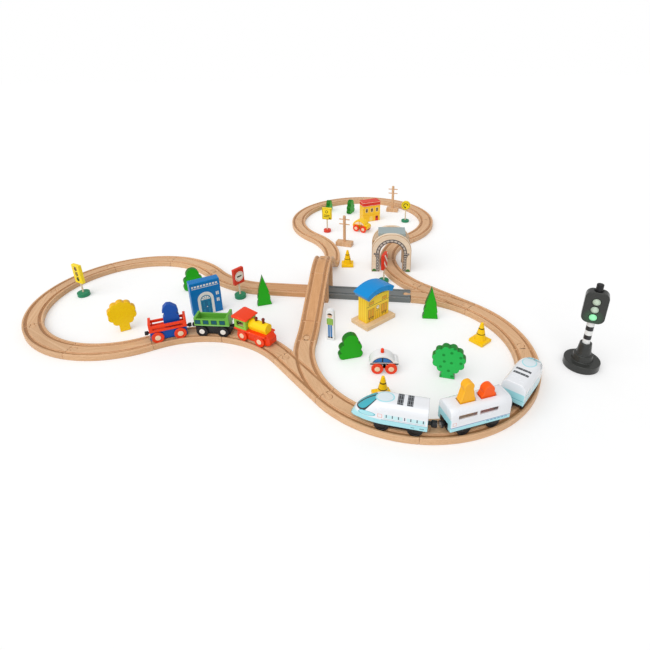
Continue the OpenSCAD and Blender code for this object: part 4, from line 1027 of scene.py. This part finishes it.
def drawStation(x, y, z):
    # panelled bays with shutters and benches, a clock over the door, a string line, and boarded ends
    ink, amber, look = houseLook["ink"], houseLook["amber"], stationLook
    bay = (abs(x).within(9.5, 27.5) | abs(x).below(7.0)) & z.within(11.0, 40.5)
    yield bay & (1 - x.wrap(5.2).below(0.5, 0.2)), houseLook["straw"]
    yield (abs(abs(x) - look["bay"]).within(8.6, 9.3) | abs(x).within(6.8, 7.5)) & z.within(10.0, 41.0), amber
    for cx in (-look["bay"], look["bay"]):
        for leaf in (cx - look["leaf"], cx + look["leaf"]):
            yield plate(x, z, leaf, *look["shutter"]), amber
            yield outline(x, z, leaf, *look["shutter"], 0.6), ink
        bench = abs(abs(x - cx) - 5.4).below(0.6) & z.within(10.6, 19.8)
        for cz, thick in look["benches"]:
            bench = bench | plate(x, z, cx, cz, look["benchWide"], thick)
        yield bench, ink
        yield outline(x, z, cx, look["board"], 13.0, 6.4, 0.7) | plate(x, z, cx, look["board"], 0.7, 6.4), ink
        yield plate(x, z, cx, look["board"], 11.6, 5.0), amber
    dial = reachFrom(x, z, 0.0, look["dial"])
    yield dial.below(4.6), ink
    yield dial.below(3.8), houseLook["cream"]
    yield plate(x, z, 0.0, look["dial"] + 1.2, 0.6, 2.6) | plate(x, z, 0.9, look["dial"], 2.2, 0.6), ink
    yield (abs(x).within(0.0, 0.35) | abs(x).within(5.2, 5.8)) & z.within(10.0, 29.0), ink
    yield z.within(45.4, 46.3) | z.within(29.0, 29.6) & abs(x).below(6.0), ink
    yield abs(x).above(look["end"], 0.1) & y.wrap(6.0).below(0.35, 0.15), amber, "around"


def drawMarket(x, y, z):
    # red roof band, three columns of windows, a door, an arched shop window and an awning line
    look = marketLook
    for cx in look["windows"]:
        pane = plate(x, z, cx, look["windowZ"], 6.6, 11.4)
        yield plate(x, z, cx, look["windowZ"], 8.2, 13.0), houseLook["cream"]
        yield pane, houseLook["dark"]
        yield pane & (z - look["windowZ"]).wrap(4.0).below(0.45, 0.15), houseLook["bar"]
    yield plate(x, z, look["door"], 8.5, 10.0, 17.0), paints["marketRed"]
    yield plate(x, z, look["door"], 12.5, 5.6, 5.0), houseLook["dark"]
    yield disc(x, z, look["arch"], 11.0, 6.0) | plate(x, z, look["arch"], 5.5, 12.0, 11.0), houseLook["arch"]
    yield outline(x, z, look["arch"], 7.0, 11.0, 12.0, 0.6), houseLook["amber"]
    yield z.within(21.5, 22.3), houseLook["amber"]
    band = z.above(look["band"], 0.2)
    yield band, paints["marketRed"], "around"
    yield band & z.below(64.5) & (z.within(51.6, 52.5) | z.within(62.0, 62.9)), houseLook["cream"], "around"


def drawBlock(x, y, z):
    # a plain town house: pale arched doorway with a panelled door, fanlight, side windows and a cornice line
    pale, night, door = houseLook["pale"], houseLook["night"], blockLook["door"]
    yield disc(x, z, door, 38.0, 17.0) | plate(x, z, door, 19.0, 34.0, 38.0), pale
    yield disc(x, z, door, 36.0, 11.5) | plate(x, z, door, 18.0, 23.0, 36.0), houseLook["door"]
    rays = (z - 36.0).angleTo(x - door).wrap(0.63).above(0.06, 0.03)
    yield disc(x, z, door, 36.0, 9.6) & z.above(37.0) & rays, pale
    for cx in (door - 5.0, door + 5.0):
        for cz, tall in blockLook["panels"]:
            yield outline(x, z, cx, cz, 6.4, tall, 0.9), night
    yield disc(x, z, door + 1.1, 19.0, 1.1), pale
    yield plate(x, z, door, 18.0, 0.6, 35.0), night
    side = blockLook["sideWindow"]
    for cz in blockLook["windowZ"]:
        yield plate(x, z, side, cz, 6.0, 8.0) & (x - side).wrap(6.0).above(0.4, 0.15), pale
    teeth = z.within(69.0, 73.0) & (x - 2.0).wrap(6.4).above(1.0, 0.2)
    yield (z.within(66.0, 67.2) | teeth) & abs(x).below(28.0), pale


stationPrint = printFinish("stationPrint", spots["station"], paints["stationYellow"], stationLook["wall"],
                           drawStation)
marketPrint = printFinish("marketPrint", spots["market"], paints["marketYellow"], marketLook["wall"],
                          drawMarket)
blockPrint = printFinish("blockPrint", spots["block"], paints["blockBlue"], blockLook["wall"], drawBlock)
stationBlocks = sorted(solidsOf("station_house"), key=lambda solid: solid[0][:, 2].max())
softPiece("dressed.station_base", "station_house", [paleWood, paleEdge], "station_yellow", 1.2, 3,
          stationBlocks[:1])
softPiece("dressed.station_walls", "station_house", [stationPrint], "station_yellow", 0.8,
          solids=stationBlocks[1:])
dress("station_roof", painted["roofBlue"], "roof_blue", 1.2, 3)
dress("market_house", [marketPrint], "market_yellow", 0.9, 3)
dress("blue_block", [blockPrint], "block_blue", 1.6, 3)
print("buildings dressed")

# tunnel: pale boards with a printed brick arch on both outer faces
tunnelLook = {"face": 32.6, "ring": (28.8, 37.6), "stones": (31.2, 35.4), "centre": 50.0, "stoneAngle": 0.285,
              "pier": 33.0, "course": 4.4, "brick": 5.2,
              "bushes": ((41.5, 3.6, 4.6), (44.6, 2.4, 3.0), (38.8, 2.2, 2.8)),
              "pale": tint(246, 228, 204), "deep": tint(232, 206, 174), "stone": tint(204, 194, 184),
              "line": tint(74, 70, 72), "leaf": tint(64, 120, 50)}


def portalFinish(spot, look):
    # pale wood with the arch printed on it
    f = Finish("portalPrint")
    grain = f.grain()
    bands = f.noise(f.stretch(grain, (0.006, 0.1, 0.2)), 1.0, 2.0, 0.5, 0.6)
    lines = f.noise(f.stretch(grain, (0.016, 0.9, 0.9)), 1.0, 3.0, 0.6)
    share = bands.within(0.38, 0.64, 0.3) * 0.5 + lines.above(0.56, 0.3) * 0.3
    body = f.mix(share, look["pale"], look["deep"])
    x, y, z = f.split(f.place(spot))
    out, stone, line = abs(x), look["stone"], look["line"]
    # wedge stones round the arch
    reach = reachFrom(x, z, 0.0, look["centre"])
    ring = reach.within(*look["ring"], 0.3) & z.above(look["centre"], 0.2)
    joint = (z - look["centre"]).angleTo(x).wrap(look["stoneAngle"])
    wedges = ring & joint.above(0.03, 0.01) & reach.within(*look["stones"], 0.3)
    # stepped caps on the piers, and bricks staggered from course to course
    cap = plate(out, z, 35.6, 48.6, 15.0, 5.0) | plate(out, z, 34.0, 43.6, 10.4, 5.6)
    capStone = plate(out, z, 35.6, 48.7, 11.6, 1.6) | plate(out, z, 34.0, 43.4, 6.6, 2.2)
    pier = plate(out, z, look["pier"], 20.5, 8.4, 41.0)
    row = z.math("FLOOR", z / look["course"])
    stagger = (out + row.math("MODULO", row, 2.0) * (look["brick"] / 2)).wrap(look["brick"]).above(0.6, 0.2)
    brick = z.wrap(look["course"]).above(0.8, 0.2) & abs(out - look["pier"]).below(3.2, 0.3) & stagger
    marks = [(ring, line), (wedges, stone), (cap, line), (capStone, stone), (pier, line),
             (pier & brick, stone)]
    marks += [(disc(out, z, *bush), look["leaf"]) for bush in look["bushes"]]
    body = f.draw(body, abs(y).above(look["face"], 0.1), marks)
    return f.close(f.scaled(body, f.attribute("tone", 2)), 0.5 + lines * 0.1, lines, 0.04)


dress("tunnel_portals", [portalFinish(spots["tunnel"], tunnelLook), boardEdge], "tunnel_wood", 1.4, 3)
tunnelBoards = sorted(solidsOf("tunnel_roof"), key=lambda solid: -solid[0][:, 2].min())
dress("tunnel_roof", painted["roofGrey"], "tunnel_grey", solids=tunnelBoards[:1])
softPiece("dressed.tunnel_sides", "tunnel_roof", [tunnelWood, boardEdge], "tunnel_wood",
          solids=tunnelBoards[1:])
print("tunnel dressed")

# signs: printed on both faces, dowel posts in painted feet
signLook = {"face": 3.75, "ink": tint(52, 46, 20), "cream": tint(246, 240, 228), "red": tint(210, 50, 34),
            "moss": tint(70, 84, 30), "rust": tint(120, 70, 20), "olive": tint(150, 120, 20),
            "dowel": (tint(238, 226, 204), tint(212, 190, 156))}


def drawLights(x, y, z):
    # three hooded lamps
    for cz, ink in ((70.0, signLook["rust"]), (57.0, signLook["olive"]), (44.0, signLook["moss"])):
        yield disc(x, z, 0.0, cz, 4.8), signLook["ink"]
        yield disc(x, z, 0.0, cz, 3.6), ink
        yield plate(x, z, 0.0, cz + 5.6, 11.0, 1.0), signLook["ink"]


def drawBar(x, y, z):
    # a bar on a ringed disc
    reach = reachFrom(x, z, 0.0, 55.0)
    yield reach.below(12.0), signLook["cream"]
    yield reach.within(9.8, 10.4), signLook["red"]
    yield plate(x, z, 0.0, 55.0, 13.0, 3.4), signLook["ink"]


def drawLines(x, y, z):
    # a ring and two lines in a frame
    yield outline(x, z, 0.0, 58.0, 25.0, 32.0), signLook["ink"]
    yield plate(x, z, 0.0, 54.0, 18.0, 2.2) | plate(x, z, 0.0, 49.0, 18.0, 2.2), signLook["ink"]
    yield reachFrom(x, z, 0.0, 64.5).within(2.8, 4.4), signLook["ink"]
    yield plate(x, z, 9.0, 44.5, 5.0, 3.4), signLook["moss"]


def drawArrow(x, y, z):
    # three quarters of a ring with a short tail
    reach = reachFrom(x, z, 0.0, 54.0)
    yield reach.within(11.6, 12.4), signLook["ink"]
    yield reach.within(5.0, 7.6) & (1 - (x.above(0.0) & z.below(54.0))), signLook["moss"]
    yield abs(x).below(3.8) & z.within(45.4, 50.4) & x.below(1.0), signLook["moss"]


def drawStripes(x, y, z):
    # slanting stripes
    yield (x + z * 0.9).wrap(19.0).below(3.4, 0.3), signLook["cream"]


def footFinish(name, spot, color, footTop):
    # a painted foot, and above it the bare dowel
    f = Finish(name)
    body, rough, height = paintBase(f, color, 0.05)
    x, y, z = f.split(f.place(spot))
    fibre = f.noise(f.stretch(f.grain(), (0.04, 2.0, 2.0)), 1.0, 2.0, 0.6)
    dowel = f.mix(fibre.above(0.5, 0.4), *signLook["dowel"])
    bare = z.above(footTop + 0.3, 0.1)
    return f.close(f.mix(bare, body, dowel), rough + z.above(footTop) * 0.15, height, paintDepth)


boards = solidsOf("sign_boards")
stands = solidsOf("sign_stands")
for key, color, draw, foot, footTop in (
        ("lightSign", "signYellow", drawLights, "standGreen", 9.0),
        ("redSign", "signRed", drawBar, "standGreen", 9.0),
        ("squareSign", "signYellow", drawLines, "signRed", 8.0),
        ("roundSign", "arrowYellow", drawArrow, "standGreen", 6.0),
        ("crossSign", "signRed", drawStripes, "standGreen", 6.0)):
    signPrint = printFinish(key + "Print", spots[key], paints[color], signLook["face"], draw)
    signFoot = footFinish(key + "Foot", spots[key], paints[foot], footTop)
    board, stand = nearest(boards, spots[key]), nearest(stands, spots[key])
    softPiece("dressed." + key, "sign_boards", [signPrint], "sign_paint", 1.2, 3, [board])
    softPiece("dressed." + key + "_foot", "sign_stands", [signFoot], "stand_green", solids=[stand])

dress("telegraph_poles", [beech, beechEdge], "beech", 0.4)

coneLook = {"rings": ((29.5, 31.6), (18.5, 20.0)), "ink": tint(70, 56, 14)}


def drawRings(x, y, z):
    # two dark rings all round
    for ring in coneLook["rings"]:
        yield z.within(*ring, 0.3), coneLook["ink"], "around"


conePrint = printFinish("conePaint", (0.0, 0.0, 0.0), paints["coneYellow"], 0.0, drawRings, 0.06)
dress("traffic_cones", [conePrint], "cone_yellow")
print("signs, poles and cones dressed")

# slab trees: bright faces, deeper sawn edges
treeLook = {"face": 6.2, "edge": tint(8, 116, 0), "dotEdge": tint(10, 128, 36), "leafEdge": tint(240, 184, 6)}
dots = {"scale": 0.066, "random": 0.6, "from": -1.0, "to": 0.17, "soft": 0.05, "share": 1.0,
        "ink": tint(8, 146, 54)}
leaves = {"scale": 0.16, "random": 0.8, "from": 0.44, "to": 0.56, "soft": 0.06, "share": 0.6,
          "ink": tint(250, 194, 0)}


def treeFinish(name, spot, face, edge, pattern):
    # a pattern is a band of distances from the middles of scattered cells
    f = Finish(name)
    x, y, z = f.split(f.place(spot))
    front = abs(y).above(treeLook["face"], 0.2)
    body, rough, height = paintBase(f, f.mix(front, edge, face), 0.08)
    if pattern:
        cell = f.node("ShaderNodeTexVoronoi", {"voronoi_dimensions": "2D"}, {
            "Vector": f.node("ShaderNodeCombineXYZ", None, {0: x, 1: z}),
            "Scale": pattern["scale"], "Randomness": pattern["random"]})
        mark = front & cell.within(pattern["from"], pattern["to"], pattern["soft"])
        body = f.mix(mark * pattern["share"], body, pattern["ink"])
    return f.close(body, rough, height, 0.04, lacquer)


trees = solidsOf("slab_trees")
treeKinds = [(key, "treeGreen", "edge", None) for key in (
    "bridgeConifer", "loopConifer", "stationBush", "blockBush", "topBushLeft", "topBushRight")]
treeKinds += [("dottedTree", "dotGreen", "dotEdge", dots), ("scallopTree", "treeYellow", "leafEdge", leaves)]
for key, face, edge, pattern in treeKinds:
    treePaint = treeFinish(key + "Paint", spots[key], paints[face], treeLook[edge], pattern)
    softPiece("dressed." + key, "slab_trees", [treePaint], "tree_green", 1.0, 3, [nearest(trees, spots[key])])

figureLook = {"face": 4.25, "head": 55.5, "skin": tint(240, 200, 168), "hair": tint(52, 38, 30),
              "shirt": tint(150, 196, 90), "sleeve": tint(132, 178, 76), "trousers": tint(70, 130, 190),
              "shoe": tint(40, 36, 36)}


def drawFigure(x, y, z):
    # a plain printed passenger: head and hair, shirt, sleeves and hands, trousers and shoes
    head, look = reachFrom(x, z, 0.0, figureLook["head"]), figureLook
    yield head.below(4.6) & z.below(57.5), look["skin"]
    yield head.below(5.4) & z.above(57.0), look["hair"]
    yield plate(x, z, 0.0, 42.5, 8.4, 15.0), look["shirt"]
    yield abs(x).within(4.2, 6.4) & z.within(36.0, 49.0), look["sleeve"]
    yield disc(abs(x), z, 5.3, 35.2, 1.3), look["skin"]
    yield abs(x).within(0.4, 4.2) & z.within(8.0, 35.0), look["trousers"]
    yield plate(abs(x), z, 2.6, 6.6, 4.4, 3.0), look["shoe"]


figurePrint = printFinish("figurePrint", spots["figure"], paints["white"], figureLook["face"], drawFigure,
                          0.04)
dress("figure", [figurePrint], "white_paint", 1.0, 3)
print("trees and figure dressed")

# signal lamp
signalLook = {"bands": ((56.0, 64.5), (73.5, 82.0)), "white": tint(236, 236, 234), "black": tint(30, 30, 32),
              "lampZ": (102.5, 117.0, 131.5), "glow": (0.45, 0.0, 0.0), "lit": tint(60, 120, 76),
              "lamps": (tint(140, 232, 170), tint(206, 226, 204), tint(206, 222, 200))}


def postFinish(look):
    # a white tube with two black bands
    f = Finish("bandedPost")
    x, y, z = f.split(f.place())
    haze = f.noise(f.place(), 0.06, 3.0, 0.6)
    band = z.within(*look["bands"][0]) | z.within(*look["bands"][1])
    body = f.mix(band, f.scaled(look["white"], 0.96 + haze * 0.06), look["black"])
    return f.close(body, 0.3 + haze * 0.12, f.noise(f.place(), 2.4, 2.0, 0.6), 0.012)


def glassFinish(name, color, glow, middle):
    # a moulded lens with fine ribs, deeper towards its rim
    f = Finish(name)
    x, y, z = f.split(f.place(spots["signal"]))
    rim = reachFrom(x, z, 0.0, middle).above(4.2, 4.0)
    haze = f.noise(f.place(), 0.3, 2.0, 0.5)
    shade = f.mix(rim * 0.6, color, tuple(0.3 * c for c in color))
    ribs = x.wrap(1.3) / 0.65
    return f.close(f.scaled(shade, 0.85 + haze * 0.2), 0.16 + haze * 0.08, ribs, 0.12, {
        "Coat Weight": 0.6, "Coat Roughness": 0.05, "Emission Color": color, "Emission Strength": glow})


def headFinish(look):
    # dark moulded housing, lit green around the lowest lamp
    f = Finish("signalHead")
    x, y, z = f.split(f.place(spots["signal"]))
    near = reachFrom(x, z, 0.0, look["lampZ"][0]).below(10.0, 14.0) & y.below(-9.0, 1.0)
    haze = f.noise(f.place(), 0.05, 3.0, 0.6)
    body = f.mix(near * 0.5, f.scaled(signalDark, 0.95 + haze * 0.1), look["lit"])
    mould = f.noise(f.place(), 2.6, 2.0, 0.6)
    return f.close(body, 0.2 + haze * 0.14, mould, 0.03, {"Specular IOR Level": 0.34})


head = solidsOf("signal_head")
lenses = sorted(head[1:], key=lambda solid: solid[0][:, 2].mean())
dress("signal_base", [signalGrey], "signal_grey", 1.2, 3)
softPiece("dressed.signal_post", "signal_post_tube", [postFinish(signalLook)], "white_paint", 0.5)
dress("signal_head", [headFinish(signalLook)], "signal_grey", 1.6, 3, head[:1])
lamps = zip(lenses, signalLook["lamps"], signalLook["glow"], signalLook["lampZ"])
for k, (lens, color, glow, lampZ) in enumerate(lamps):
    glass = glassFinish("lens%d" % k, color, glow, lampZ)
    softPiece("lens.%d" % k, "signal_head", [glass], "signal_grey", 0, solids=[lens])
dress("signal_button", [blackPlastic], "black_plastic", 1.0, 3)
print("signal dressed")
